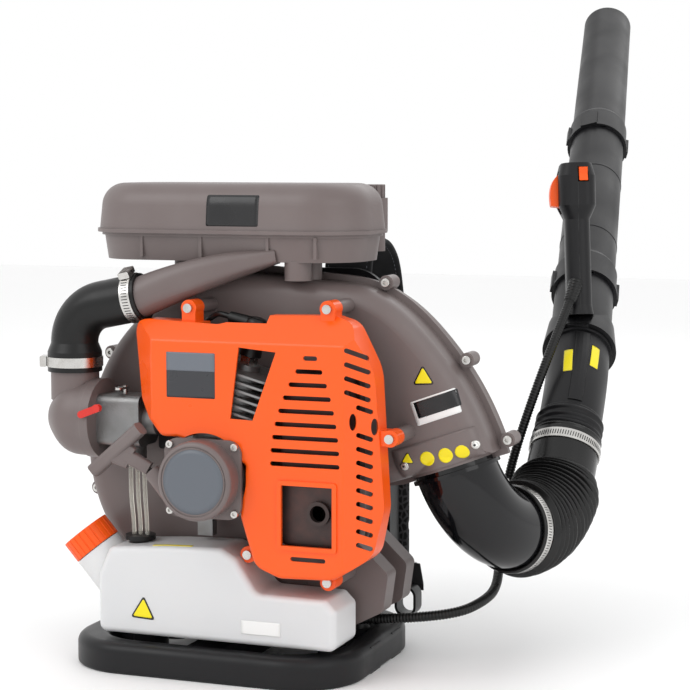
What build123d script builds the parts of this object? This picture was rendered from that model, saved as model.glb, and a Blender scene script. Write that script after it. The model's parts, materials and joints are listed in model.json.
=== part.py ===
"""Backpack leaf blower: base and back frame, harness, fan housing, two-stroke
engine with recoil starter, air cleaner, fuel tank and the swinging air pipe.

Frame: +Z up, +Y towards the wearer and along the air pipe, +X to the pipe side.
Origin: on the floor, under the middle bar of the base.  Millimetres.
"""
import os
from math import cos, pi, radians, sin, tan

from build123d import *

os.makedirs("parts", exist_ok=True)

# ---------------------------------------------------------------- dimensions
GAP = 0.3                      # clearance between pieces that move apart
SHAFT_FIT = 0.05               # radial running clearance

BASE_X, BASE_Y, BASE_H = 340, 276, 34
BASE_MID_Y = -22
BASE_BAR = 32
BASE_R = 74

FAN_X, FAN_Z = 12, 223         # crankshaft and fan axis, along Y
HOUSING_FRONT, HOUSING_SPLIT, HOUSING_REAR = -62, -12, 38
WALL = 3
SCROLL_R0, SCROLL_GROWTH = 146, 0.27      # radius at the tongue, mm per degree
TONGUE_ANGLE = 352
FAN_R = 130
EYE_R = 86

ENGINE_Y = -106                # cylinder centre line
CYL_LEAN = 15                  # the cylinder leans towards the muffler
BORE_R = 24
STROKE = 37
CASE_R, CASE_FRONT, CASE_REAR = 42, -136, -84

STARTER_R = 43
STARTER_FRONT = -178

COVER_FRONT, COVER_REAR, COVER_T = -150, -100, 2.5

TANK_FRONT, TANK_REAR, TANK_T = -137, -68, 2.5
NECK_R, CAP_R, CAP_H = 22, 28, 24

LID_X, LID_Y, LID_Z, LID_H, LID_R = 330, 156, 483, 55, 66
LID_MID = (-3, -12)

PIPE_R = 38                    # outer radius of the air pipes
PIPE_T = 2.2
ELBOW_R = 45.5

# ------------------------------------------------------------ small helpers


def front(y):
    """Sketch plane across Y: local x is +X, local y is +Z, normal is -Y."""
    return Plane(origin=(0, y, 0), x_dir=(1, 0, 0), z_dir=(0, -1, 0))


def side(x):
    """Sketch plane across X: local x is +Y, local y is +Z, normal is +X."""
    return Plane(origin=(x, 0, 0), x_dir=(0, 1, 0), z_dir=(1, 0, 0))


def polar(radius, degrees, centre=(FAN_X, FAN_Z)):
    return (centre[0] + radius * cos(radians(degrees)), centre[1] + radius * sin(radians(degrees)))


def axis_plane(point, direction, x_hint=(1, 0, 0)):
    """Plane at point whose normal is direction."""
    normal = Vector(*direction).normalized()
    hint = Vector(*x_hint)
    x_dir = (hint - normal * hint.dot(normal)).normalized()
    return Plane(origin=tuple(point), x_dir=tuple(x_dir), z_dir=tuple(normal))


def arc_plane(point, d_in, d_out):
    """Plane of the bend from d_in to d_out: local x is d_in, the arc turns to local +y."""
    d_in, d_out = Vector(*d_in).normalized(), Vector(*d_out).normalized()
    return Plane(origin=tuple(point), x_dir=tuple(d_in), z_dir=tuple(d_in.cross(d_out).normalized()))


def bend_end(point, d_in, d_out, radius):
    """Where a bend of that radius from d_in to d_out ends."""
    d_in, d_out = Vector(*d_in).normalized(), Vector(*d_out).normalized()
    reach = radius * tan(radians(d_in.get_angle(d_out) / 2))
    return Vector(*point) + (d_in + d_out) * reach


def finish(builder, name):
    builder.part.label = name
    export_step(builder.part, f"parts/{name}.step")


# ---------------------------------------------------------- base and harness
FOOT_SPOTS = ((-106, -44), (124, -44), (-106, 26), (124, 26))   # isolator centres
MOUNT_R, MOUNT_H = 14, 20

with BuildPart() as base_frame:
    with BuildSketch(Plane.XY):
        with Locations((2, BASE_MID_Y)):
            RectangleRounded(BASE_X, BASE_Y, BASE_R)
            RectangleRounded(BASE_X - 2 * BASE_BAR, BASE_Y - 2 * BASE_BAR, BASE_R - BASE_BAR / 2,
                             mode=Mode.SUBTRACT)
    extrude(amount=BASE_H)
    fillet(base_frame.edges().group_by(Axis.Z)[-1], 11)
    fillet(base_frame.edges().group_by(Axis.Z)[0], 4)
    with BuildSketch(Plane.XY):
        with Locations((0, BASE_MID_Y)):
            Rectangle(44, BASE_Y - 2 * BASE_BAR + 8)
        for x, y in FOOT_SPOTS:
            with Locations((x, y)):
                Circle(21)
        with Locations((-134, -44), (154, -44), (-134, 26), (154, 26)):
            Rectangle(34, 30)
    extrude(amount=BASE_H - 4)
    with Locations(*[(x, y, BASE_H - 4) for x, y in FOOT_SPOTS]):
        Hole(4.2)
finish(base_frame, "base_frame")

with BuildPart() as vibration_mounts:
    for x, y in FOOT_SPOTS:
        with BuildSketch(Plane(origin=(x, y, 0), x_dir=(1, 0, 0), z_dir=(0, -1, 0))):
            with BuildLine():
                Line((0, BASE_H - 4), (MOUNT_R, BASE_H - 4))
                ThreePointArc((MOUNT_R, BASE_H - 4), (MOUNT_R - 3.5, BASE_H - 4 + MOUNT_H / 2),
                              (MOUNT_R, BASE_H - 4 + MOUNT_H))
                Line((MOUNT_R, BASE_H - 4 + MOUNT_H), (0, BASE_H - 4 + MOUNT_H))
                Line((0, BASE_H - 4 + MOUNT_H), (0, BASE_H - 4))
            make_face()
        revolve(axis=Axis((x, y, 0), (0, 0, 1)))
finish(vibration_mounts, "vibration_mounts")

BACK_Y, BACK_T = 62, 9
BACK_FOOT_X = 92
BACK_W, BACK_LOW, BACK_TOP = 300, 34, 440

with BuildPart() as back_frame:
    with BuildSketch(front(BACK_Y + BACK_T)):
        with Locations((0, (BACK_LOW + BACK_TOP) / 2)):
            RectangleRounded(BACK_W, BACK_TOP - BACK_LOW, 46)
        with Locations((FAN_X, FAN_Z)):
            RectangleRounded(150, 150, 12, mode=Mode.SUBTRACT)
        with Locations((0, 392)):
            RectangleRounded(114, 30, 6, mode=Mode.SUBTRACT)
    extrude(amount=BACK_T)
    fillet(back_frame.edges().group_by(Axis.Y)[-1].filter_by(GeomType.LINE), 3)
    for x in (-150 + 12, 150 - 12):
        with BuildSketch(front(BACK_Y + BACK_T + 26)):
            with Locations((x, 200)):
                RectangleRounded(22, 300, 10)
        extrude(amount=26)
    with BuildSketch(Plane.XY.offset(BASE_H)):
        with Locations((-BACK_FOOT_X, 88), (BACK_FOOT_X, 88)):
            Rectangle(60, 40)
    extrude(amount=26)
finish(back_frame, "back_frame")

PAD_Y = BACK_Y + BACK_T + 26 + GAP

with BuildPart() as back_pad:
    with BuildSketch(front(PAD_Y + 30)):
        with Locations((0, 196)):
            RectangleRounded(336, 318, 56)
    extrude(amount=30)
    fillet(back_pad.edges().group_by(Axis.Y)[-1], 12)
    with BuildSketch(front(PAD_Y + 32)):
        with Locations((-BACK_FOOT_X, 77), (BACK_FOOT_X, 77)):
            RectangleRounded(72, 84, 10)
    extrude(amount=34, mode=Mode.SUBTRACT)
finish(back_pad, "back_pad")

STRAP_T, STRAP_W = 9, 58


def strap_profile():
    with BuildLine() as line:
        FilletPolyline((76.4, 392), (80, 450), (128, 472), (184, 440), (212, 330), (200, 190), (156, 104),
                       (110, 64), radius=(18, 22, 34, 90, 120, 60))
    return line.line


for strap_name, strap_x in (("shoulder_strap_left", -BACK_FOOT_X), ("shoulder_strap_right", BACK_FOOT_X)):
    with BuildPart() as strap:
        with BuildSketch(side(strap_x - STRAP_W / 2)):
            with BuildLine():
                offset(strap_profile(), amount=STRAP_T / 2, side=Side.BOTH)
            make_face()
        extrude(amount=STRAP_W)
    finish(strap, strap_name)

# --------------------------------------------------------------- fan housing
OUTLET = Vector(251, HOUSING_SPLIT, 233)          # centre of the outlet edge
OUTLET_DIR = Vector(0.326, 0, -0.946).normalized()
OUTLET_HALF = 57
OUTLET_EDGE = Vector(-OUTLET_DIR.Z, OUTLET_DIR.X)  # along the outlet edge, in the XZ plane
SHOULDER = ((170, 421), (234, 371), (281, 305))    # outer wall from the scroll to the outlet


def volute_outline(grow=0.0):
    """Closed scroll outline in the XZ plane, moved outwards by grow."""
    turns = range(0, 281, 20)
    scroll = [polar(SCROLL_R0 + SCROLL_GROWTH * t + grow, TONGUE_ANGLE - t) for t in turns]
    shoulder = []
    for x, z in SHOULDER:
        out = Vector(x - FAN_X, z - FAN_Z).normalized() * grow
        shoulder.append((x + out.X, z + out.Y))
    middle = Vector(OUTLET.X, OUTLET.Z) + Vector(OUTLET_DIR.X, OUTLET_DIR.Z) * grow
    right = middle + OUTLET_EDGE * (OUTLET_HALF + grow)
    left = middle - OUTLET_EDGE * (OUTLET_HALF + grow)
    with BuildLine() as outline:
        Spline(*scroll, *shoulder, (right.X, right.Y))
        Polyline((right.X, right.Y), (left.X, left.Y), scroll[0])
    return outline.line


def volute_block(y_from, y_to, grow, round_front=0.0, round_rear=0.0):
    """Solid scroll between two Y planes with rounded front or rear edges."""
    with BuildPart() as block:
        with BuildSketch(front(y_to)):
            make_face(volute_outline(grow).edges())
        extrude(amount=y_to - y_from)
        if round_front:
            fillet(block.edges().group_by(Axis.Y)[0], round_front)
        if round_rear:
            fillet(block.edges().group_by(Axis.Y)[-1], round_rear)
    return block.part


RIM_T, RIM_OUT = 4, 7
RIM_TOP = 452.5                # the rim is flat here, under the air cleaner tray
SCREW_SPOTS = [polar(SCROLL_R0 + SCROLL_GROWTH * t + RIM_OUT + 3, TONGUE_ANGLE - t)
               for t in (60, 112, 160, 206, 250)] + [(175, 430), (268, 348), (315, 263)]
SCREW_R, LUG_R = 2.5, 8


LEG_LEFT = ((-128, 50), (-84, 50), (-56, 92), (-84, 150), (-132, 128))
LEG_RIGHT = ((106, 50), (146, 50), (184, 70), (190, 112), (150, 150), (90, 120))
LEG_R, LEG_T = 9, 32
COLLAR_DEEP = 34
COVER_LUGS = ((-18, 404), (144, 407), (144, 113), (51, 137), (214, 272))
OUTLET_PLANE = axis_plane(OUTLET, OUTLET_DIR)


def outlet_collar(sign):
    """Half of the round collar that takes the air elbow."""
    with BuildPart() as collar:
        with BuildSketch(OUTLET_PLANE.offset(-COLLAR_DEEP)):
            Circle(ELBOW_R + 3.6)
        extrude(amount=COLLAR_DEEP + 2)
        split(bisect_by=Plane(origin=(0, HOUSING_SPLIT, 0), z_dir=(0, sign, 0)), keep=Keep.TOP)
    return collar.part


def housing_half(y_wall, sign):
    """One scroll shell: wall, rim flange, screw lugs and two legs, open at the parting plane."""
    low, high = sorted((y_wall, HOUSING_SPLIT))
    rim = sorted((HOUSING_SPLIT, HOUSING_SPLIT + sign * RIM_T))
    lug_rear = HOUSING_SPLIT if sign < 0 else HOUSING_SPLIT + 12
    rounding = {"round_front" if sign < 0 else "round_rear": 20}
    inner_rounding = {"round_front" if sign < 0 else "round_rear": 20 - WALL}
    with BuildPart() as shell:
        add(volute_block(low, high, 0, **rounding))
        add(volute_block(*rim, RIM_OUT))
        with BuildSketch(front(lug_rear)):
            with Locations(*SCREW_SPOTS):
                Circle(LUG_R)
        extrude(amount=12)
        leg_rear = y_wall + LEG_T if sign < 0 else y_wall - 4
        with BuildSketch(front(leg_rear)):
            for leg in (LEG_LEFT, LEG_RIGHT):
                with BuildLine():
                    FilletPolyline(*leg, radius=LEG_R, close=True)
                make_face()
        extrude(amount=LEG_T - 4)
        if sign < 0:
            add(volute_block(y_wall + WALL, HOUSING_SPLIT, -WALL, **inner_rounding), mode=Mode.SUBTRACT)
            with BuildSketch(front(y_wall + WALL)):
                with Locations((FAN_X, FAN_Z)):
                    Circle(26)
                    with PolarLocations(58, 4, start_angle=45):
                        Circle(3.2)
            extrude(amount=WALL, mode=Mode.SUBTRACT)
            with BuildSketch(front(y_wall + 5)):
                with Locations(*COVER_LUGS):
                    Circle(LUG_R)
            extrude(amount=y_wall + 5 - COVER_REAR)
        else:
            with BuildSketch(front(y_wall + 5)):
                with Locations((FAN_X, FAN_Z)):
                    Circle(EYE_R + 8)
            extrude(amount=5)
            add(volute_block(HOUSING_SPLIT, y_wall - WALL, -WALL, **inner_rounding), mode=Mode.SUBTRACT)
            with BuildSketch(front(y_wall + 5)):
                with Locations((FAN_X, FAN_Z)):
                    Circle(EYE_R)
            extrude(amount=5 + WALL, mode=Mode.SUBTRACT)
        add(outlet_collar(sign))
        with BuildSketch(OUTLET_PLANE.offset(-COLLAR_DEEP - 2)):
            Circle(ELBOW_R + 0.1)
        extrude(amount=COLLAR_DEEP + 30, mode=Mode.SUBTRACT)
        with BuildSketch(front(HOUSING_SPLIT + 14)):
            with Locations(*SCREW_SPOTS):
                Circle(SCREW_R + 0.1)
        extrude(amount=28, mode=Mode.SUBTRACT)
        split(bisect_by=Plane.XY.offset(RIM_TOP), keep=Keep.BOTTOM)
    return shell


fan_housing_front = housing_half(HOUSING_FRONT, -1)
finish(fan_housing_front, "fan_housing_front")
fan_housing_rear = housing_half(HOUSING_REAR, 1)
finish(fan_housing_rear, "fan_housing_rear")


def screws(spots, y_face, shank, head_r=5, head_h=4.5, shank_r=SCREW_R):
    """Socket-head screws whose heads sit on a face at y_face and point back along +Y."""
    with BuildPart() as group:
        with BuildSketch(front(y_face)):
            with Locations(*spots):
                Circle(head_r)
        extrude(amount=head_h)
        fillet(group.edges().group_by(Axis.Y)[0], 0.8)
        with BuildSketch(front(y_face - head_h)):
            with Locations(*spots):
                RegularPolygon(radius=head_r * 0.5, side_count=6)
        extrude(amount=-head_h * 0.6, mode=Mode.SUBTRACT)
        with BuildSketch(front(y_face + shank)):
            with Locations(*spots):
                Circle(shank_r)
        extrude(amount=shank)
    return group


finish(screws(SCREW_SPOTS, HOUSING_SPLIT - 12, 22), "housing_screws")

with BuildPart() as intake_guard:
    with BuildSketch(front(HOUSING_REAR + 9)):
        with Locations((FAN_X, FAN_Z)):
            Circle(EYE_R + 6)
            Circle(EYE_R - 2, mode=Mode.SUBTRACT)
            for ring in (72, 56, 40, 24):
                Circle(ring)
                Circle(ring - 3, mode=Mode.SUBTRACT)
            Circle(9)
            with PolarLocations(0, 6):
                Rectangle(2 * EYE_R, 3)
    extrude(amount=4)
finish(intake_guard, "intake_guard")

# -------------------------------------------------------- fan, shaft, crankcase
BLADES = 14
BLADE_W = 62
FAN_BACK = HOUSING_FRONT + 13

with BuildPart() as impeller:
    with BuildSketch(front(FAN_BACK + 3)):
        with Locations((FAN_X, FAN_Z)):
            Circle(FAN_R)
    extrude(amount=3)
    with BuildSketch(front(FAN_BACK + 3 + BLADE_W)):
        for i in range(BLADES):
            turn = 360 / BLADES * i
            with BuildLine():
                inner_arc = ThreePointArc(polar(46, turn), polar(90, turn + 11), polar(FAN_R - 1, turn + 1))
                outer_arc = ThreePointArc(polar(46, turn + 4), polar(90, turn + 13), polar(FAN_R - 1, turn + 2.3))
                Line(inner_arc @ 0, outer_arc @ 0)
                Line(inner_arc @ 1, outer_arc @ 1)
            make_face()
    extrude(amount=BLADE_W)
    with BuildSketch(front(FAN_BACK + 40)):
        with Locations((FAN_X, FAN_Z)):
            Circle(22)
    extrude(amount=40)
    with BuildSketch(front(FAN_BACK + 40)):
        with Locations((FAN_X, FAN_Z)):
            Circle(8)
    extrude(amount=40, mode=Mode.SUBTRACT)
finish(impeller, "impeller")

WEB_R, WEB_T, PIN_GAP = 32, 9, 11
SHAFT_R, CRANK_FRONT = 8, -141

with BuildPart() as crankshaft:
    with BuildSketch(front(FAN_BACK + 46)):
        with Locations((FAN_X, FAN_Z)):
            Circle(SHAFT_R)
    extrude(amount=FAN_BACK + 46 - CRANK_FRONT)
    with BuildSketch(front(ENGINE_Y + PIN_GAP / 2 + WEB_T)):
        with Locations((FAN_X, FAN_Z)):
            Circle(WEB_R)
            with Locations((0, STROKE / 2 + 18)):
                Rectangle(2 * WEB_R, 28, mode=Mode.SUBTRACT)
        with Locations((FAN_X, FAN_Z + STROKE / 2)):
            Circle(11)
    extrude(amount=PIN_GAP + 2 * WEB_T)
    with BuildSketch(front(ENGINE_Y + PIN_GAP / 2)):
        with Locations((FAN_X, FAN_Z)):
            Circle(WEB_R + 1)
            with Locations((0, STROKE / 2)):
                Circle(7, mode=Mode.SUBTRACT)
    extrude(amount=PIN_GAP, mode=Mode.SUBTRACT)
finish(crankshaft, "crankshaft")

FLYWHEEL_R, FLYWHEEL_REAR = 45, -65
with BuildPart() as flywheel:
    with BuildSketch(front(FLYWHEEL_REAR)):
        with Locations((FAN_X, FAN_Z)):
            Circle(FLYWHEEL_R)
            Circle(SHAFT_R, mode=Mode.SUBTRACT)
            with PolarLocations(27, 6):
                Circle(7, mode=Mode.SUBTRACT)
    extrude(amount=12)
    with BuildSketch(front(FLYWHEEL_REAR)):
        with Locations(polar(FLYWHEEL_R - 8, 220), polar(FLYWHEEL_R - 8, 250)):
            Circle(6)
    extrude(amount=13.5)
finish(flywheel, "flywheel")

cyl_plane = Plane(origin=(FAN_X, ENGINE_Y, FAN_Z), x_dir=(cos(radians(CYL_LEAN)), 0, -sin(radians(CYL_LEAN))),
                  z_dir=(sin(radians(CYL_LEAN)), 0, cos(radians(CYL_LEAN))))
DECK_H = 46                    # cylinder base above the crankshaft axis
HEAD_H = 108

with BuildPart() as crankcase:
    with BuildSketch(front(CASE_REAR)):
        with Locations((FAN_X, FAN_Z)):
            Circle(CASE_R)
    extrude(amount=CASE_REAR - CASE_FRONT)
    with BuildSketch(cyl_plane.offset(20)):
        RectangleRounded(66, 54, 6)
    extrude(amount=DECK_H - 20)
    with BuildSketch(front(CASE_REAR)):
        with Locations((FAN_X - 24, FAN_Z - 44)):
            Rectangle(18, 60)
    extrude(amount=12)
    with BuildSketch(front(HOUSING_FRONT)):
        with Locations((FAN_X, FAN_Z)):
            with PolarLocations(58, 4, start_angle=45):
                Circle(7)
    extrude(amount=HOUSING_FRONT - CASE_REAR)
    with BuildSketch(front(CASE_REAR)):
        with Locations((FAN_X, FAN_Z)):
            RectangleRounded(100, 100, 12)
    extrude(amount=6)
    with BuildSketch(cyl_plane.offset(DECK_H)):
        Rectangle(160, 160)
    extrude(amount=60, mode=Mode.SUBTRACT)
    with BuildSketch(front(CASE_REAR - 5)):
        with Locations((FAN_X, FAN_Z)):
            Circle(CASE_R - 6)
    extrude(amount=CASE_REAR - CASE_FRONT - 12, mode=Mode.SUBTRACT)
    with BuildSketch(cyl_plane.offset(22)):
        Circle(BORE_R + 1)
    extrude(amount=DECK_H - 22, mode=Mode.SUBTRACT)
    with BuildSketch(front(CASE_REAR)):
        with Locations((FAN_X, FAN_Z)):
            Circle(SHAFT_R + SHAFT_FIT)
    extrude(amount=CASE_REAR - CASE_FRONT, mode=Mode.SUBTRACT)
finish(crankcase, "crankcase")

FIN_COUNT, FIN_PITCH, FIN_T = 8, 8.5, 2.4
FIN_X, FIN_Y = 92, 74

with BuildPart() as cylinder:
    with BuildSketch(cyl_plane.offset(DECK_H)):
        RectangleRounded(66, 60, 6)
    extrude(amount=6)
    with BuildSketch(cyl_plane.offset(DECK_H)):
        Circle(BORE_R + 5)
    extrude(amount=HEAD_H + 8 - DECK_H)
    for i in range(FIN_COUNT):
        with BuildSketch(cyl_plane.offset(DECK_H + 12 + i * FIN_PITCH)):
            RectangleRounded(FIN_X, FIN_Y, 12)
        extrude(amount=FIN_T)
    with BuildSketch(cyl_plane.offset(HEAD_H + 4)):
        Circle(15)
    extrude(amount=14)
    with BuildSketch(Plane(origin=cyl_plane.from_local_coords((0, 0, 82)), x_dir=(0, 1, 0),
                           z_dir=cyl_plane.x_dir)):
        Rectangle(34, 26)
    extrude(amount=FIN_X / 2 + 2)
    with BuildSketch(Plane(origin=cyl_plane.from_local_coords((0, 0, 68)), x_dir=(0, 1, 0),
                           z_dir=tuple(-cyl_plane.x_dir))):
        Rectangle(40, 30)
    extrude(amount=FIN_X / 2 + 2)
    with BuildSketch(cyl_plane.offset(DECK_H)):
        Circle(BORE_R)
    extrude(amount=HEAD_H - DECK_H, mode=Mode.SUBTRACT)
    with BuildSketch(cyl_plane.offset(HEAD_H)):
        Circle(5)
    extrude(amount=20, mode=Mode.SUBTRACT)
finish(cylinder, "cylinder")

PISTON_H, PISTON_LOW = 34, 53
with BuildPart() as piston:
    with BuildSketch(cyl_plane.offset(PISTON_LOW)):
        Circle(BORE_R - SHAFT_FIT)
    extrude(amount=PISTON_H)
    with BuildSketch(cyl_plane.offset(PISTON_LOW)):
        Circle(BORE_R - 4)
    extrude(amount=PISTON_H - 6, mode=Mode.SUBTRACT)
    for i in range(2):
        with BuildSketch(cyl_plane.offset(PISTON_LOW + PISTON_H - 5 - 4 * i)):
            Circle(BORE_R)
            Circle(BORE_R - 1, mode=Mode.SUBTRACT)
        extrude(amount=1.5, mode=Mode.SUBTRACT)
finish(piston, "piston")

PLUG_H = HEAD_H + 18
with BuildPart() as spark_plug:
    with BuildSketch(cyl_plane.offset(HEAD_H + 1)):
        Circle(4.9)
    extrude(amount=17)
    with BuildSketch(cyl_plane.offset(PLUG_H)):
        RegularPolygon(radius=11, side_count=6)
    extrude(amount=9)
    with BuildSketch(cyl_plane.offset(PLUG_H + 9)):
        Circle(7)
    extrude(amount=20, taper=4)
finish(spark_plug, "spark_plug")

BOOT_LOW = PLUG_H + 9.2
BOOT_TURN = cyl_plane.from_local_coords((0, 0, BOOT_LOW + 34))
LEAD_DIR = Vector(-0.86, 0.12, 0.20).normalized()
with BuildPart() as plug_boot:
    with BuildSketch(cyl_plane.offset(BOOT_LOW)):
        Circle(13)
    extrude(amount=42, taper=2)
    fillet(plug_boot.edges().group_by(Axis.Z)[-1], 6)
    with BuildSketch(axis_plane(BOOT_TURN, LEAD_DIR)):
        Circle(8)
    extrude(amount=34, taper=3)
    with BuildSketch(cyl_plane.offset(BOOT_LOW)):
        Circle(7.2)
    extrude(amount=21, mode=Mode.SUBTRACT)
finish(plug_boot, "plug_boot")

# the lead runs from the boot, over the cylinder, down to the coil beside the flywheel
LEAD_R = 3.2
COIL_MID = (-60, -80, 262)
lead_start = BOOT_TURN + LEAD_DIR * 34
LEAD_ROUTE = (tuple(lead_start), tuple(lead_start + LEAD_DIR * 16), (-12, -88, 388), (-34, -80, 360),
              (-52, -78, 330), (-60, -78, 304), (-60, -78, 282.3))


def route_radii(points, share=0.45):
    """Arc radii that let each corner of a route be as round as its two runs allow."""
    radii = []
    for a, b, c in zip(points, points[1:], points[2:]):
        a, b, c = Vector(*a), Vector(*b), Vector(*c)
        turn = (b - a).get_angle(c - b)
        run = min((b - a).length, (c - b).length)
        radii.append(share * run / tan(radians(turn / 2)))
    return radii


def tube_along(points, radius):
    """Round bar along straight runs joined by tangent arcs."""
    radii = route_radii(points)
    with BuildPart() as tube:
        with BuildLine() as path:
            FilletPolyline(*points, radius=radii)
        wire = path.wires()[0]
        with BuildSketch(Plane(origin=wire @ 0, z_dir=wire % 0)):
            Circle(radius)
        sweep(path=wire)
    section = pi * radius ** 2 * wire.length
    print("route radii", [round(r, 1) for r in radii], "length", round(wire.length, 1),
          "volume / section x length", round(tube.part.volume / section, 4))
    return tube


finish(tube_along(LEAD_ROUTE, LEAD_R), "ignition_lead")

with BuildPart() as ignition_coil:
    with BuildSketch(front(-70)):
        with Locations((COIL_MID[0], COIL_MID[2])):
            RectangleRounded(26, 40, 4)
    extrude(amount=16)
    with BuildSketch(front(-73)):
        for dz in (-16, 16):
            with Locations((COIL_MID[0] + 16, COIL_MID[2] + dz - 6)):
                Rectangle(16, 7)
    extrude(amount=10)
finish(ignition_coil, "ignition_coil")

# ------------------------------------------------------------------- muffler
MUFFLER_X, MUFFLER_Z = (94, 174), (152, 338)
MUFFLER_Y = (-138, -84)
TAIL = (141, 191)              # tail pipe centre in the XZ plane

with BuildPart() as muffler:
    mid_x, mid_z = sum(MUFFLER_X) / 2, sum(MUFFLER_Z) / 2
    wide, tall = MUFFLER_X[1] - MUFFLER_X[0], MUFFLER_Z[1] - MUFFLER_Z[0]
    with BuildSketch(front(MUFFLER_Y[1])):
        with Locations((mid_x, mid_z)):
            RectangleRounded(wide, tall, 12)
    extrude(amount=MUFFLER_Y[1] - MUFFLER_Y[0])
    fillet(muffler.edges().group_by(Axis.Y)[0] + muffler.edges().group_by(Axis.Y)[-1], 5)
    with BuildSketch(front(sum(MUFFLER_Y) / 2 + 1.5)):
        with Locations((mid_x, mid_z)):
            RectangleRounded(wide + 6, tall + 6, 14)
    extrude(amount=3)
    with BuildSketch(front(MUFFLER_Y[0] + 2)):
        with Locations(TAIL):
            Circle(13)
    extrude(amount=8)
    port = cyl_plane.from_local_coords((FIN_X / 2 + 2.2, 0, 82))
    with BuildSketch(Plane(origin=port, x_dir=(0, 1, 0), z_dir=cyl_plane.x_dir)):
        Rectangle(34, 26)
    extrude(amount=24)
    with BuildSketch(front(MUFFLER_Y[1] - 2)):
        with Locations((mid_x, mid_z)):
            RectangleRounded(wide - 4, tall - 4, 10)
    extrude(amount=MUFFLER_Y[1] - MUFFLER_Y[0] - 4, mode=Mode.SUBTRACT)
    with BuildSketch(front(MUFFLER_Y[0] + 20)):
        with Locations(TAIL):
            Circle(9)
    extrude(amount=40, mode=Mode.SUBTRACT)
finish(muffler, "muffler")

# -------------------------------------------------------------- engine cover
TANK_OUTLINE = ((-125, 40), (-125, 106), (-111, 137), (-41, 142), (24, 144), (42, 134), (66, 97),
                (146, 96), (158, 84), (158, 40))
TANK_RADII = (10, 12, 10, 60, 14, 14, 14, 8, 8, 10)


def tank_block(inset):
    """Solid tank body, moved inwards by inset."""
    with BuildPart() as block:
        with BuildSketch(front(TANK_REAR - inset)):
            with BuildLine():
                FilletPolyline(*TANK_OUTLINE, radius=TANK_RADII, close=True)
            make_face()
            if inset:
                offset(amount=-inset, kind=Kind.INTERSECTION, mode=Mode.REPLACE)
        extrude(amount=TANK_REAR - TANK_FRONT - 2 * inset)
        fillet(block.edges().group_by(Axis.Y)[0] + block.edges().group_by(Axis.Y)[-1], 7 - inset)
    return block.part


COVER_CUT_R = 49               # round opening for the starter
COVER_CORNERS = ((-84, 392), (-70, 304), (-40, 266), (-20, 266), (60, 240), (53, 184), (70, 130),
                 (98, 119), (160, 121), (198, 146), (208, 196), (199, 344), (174, 393), (150, 400),
                 (60, 398), (20, 388))
COVER_RADII = (16, 14, 10, 4, 4, 20, 20, 22, 28, 24, 40, 60, 22, 40, 30, 16)
CHAMFER_POINT = (172, COVER_FRONT)     # where the right flank starts to slope back
FLANK_SLOPE = 38                       # degrees from the front face
FLANK_SLOTS = 15


def cover_block(inset):
    """Solid cover body, moved inwards by inset on its front, flank and outline."""
    with BuildPart() as block:
        with BuildSketch(front(COVER_REAR)) as outline:
            with BuildLine():
                FilletPolyline(*COVER_CORNERS, radius=COVER_RADII, close=True)
            make_face()
            if inset:
                offset(amount=-inset, kind=Kind.INTERSECTION, mode=Mode.REPLACE)
        extrude(amount=COVER_REAR - COVER_FRONT - inset)
        normal = Vector(sin(radians(FLANK_SLOPE)), -cos(radians(FLANK_SLOPE)), 0)
        corner = Vector(CHAMFER_POINT[0], CHAMFER_POINT[1], 0) - normal * inset
        split(bisect_by=Plane(origin=tuple(corner), x_dir=(0, 0, 1), z_dir=tuple(normal)), keep=Keep.BOTTOM)
        top_lean = Vector(0, -cos(radians(50)), sin(radians(50)))
        top_point = Vector(0, COVER_FRONT, 371) - top_lean * inset
        split(bisect_by=Plane(origin=tuple(top_point), x_dir=(1, 0, 0), z_dir=tuple(top_lean)),
              keep=Keep.BOTTOM)
        left_lean = Vector(-cos(radians(48)), -sin(radians(48)), 0)
        left_point = Vector(-50, COVER_FRONT, 0) - left_lean * inset
        split(bisect_by=Plane(origin=tuple(left_point), x_dir=(0, 0, 1), z_dir=tuple(left_lean)),
              keep=Keep.BOTTOM)
    return block.part


FLANGE_Y, FLANGE_T = COVER_FRONT - 0.3, 4      # starter flange, in front of the cover
STARTER_SCREWS = [(FAN_X + sx * 38, FAN_Z + sz * 36) for sx in (-1, 1) for sz in (-1, 1)]
SLOT_ROWS, SLOT_PITCH, SLOT_TOP, SLOT_T = 9, 14.2, 357, 5
FIN_WINDOW = ((53, 366), (96, 362), (69, 288), (43, 289))
TAIL_WINDOW = (102, 156, 160, 221)     # left, low, right, top

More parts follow.
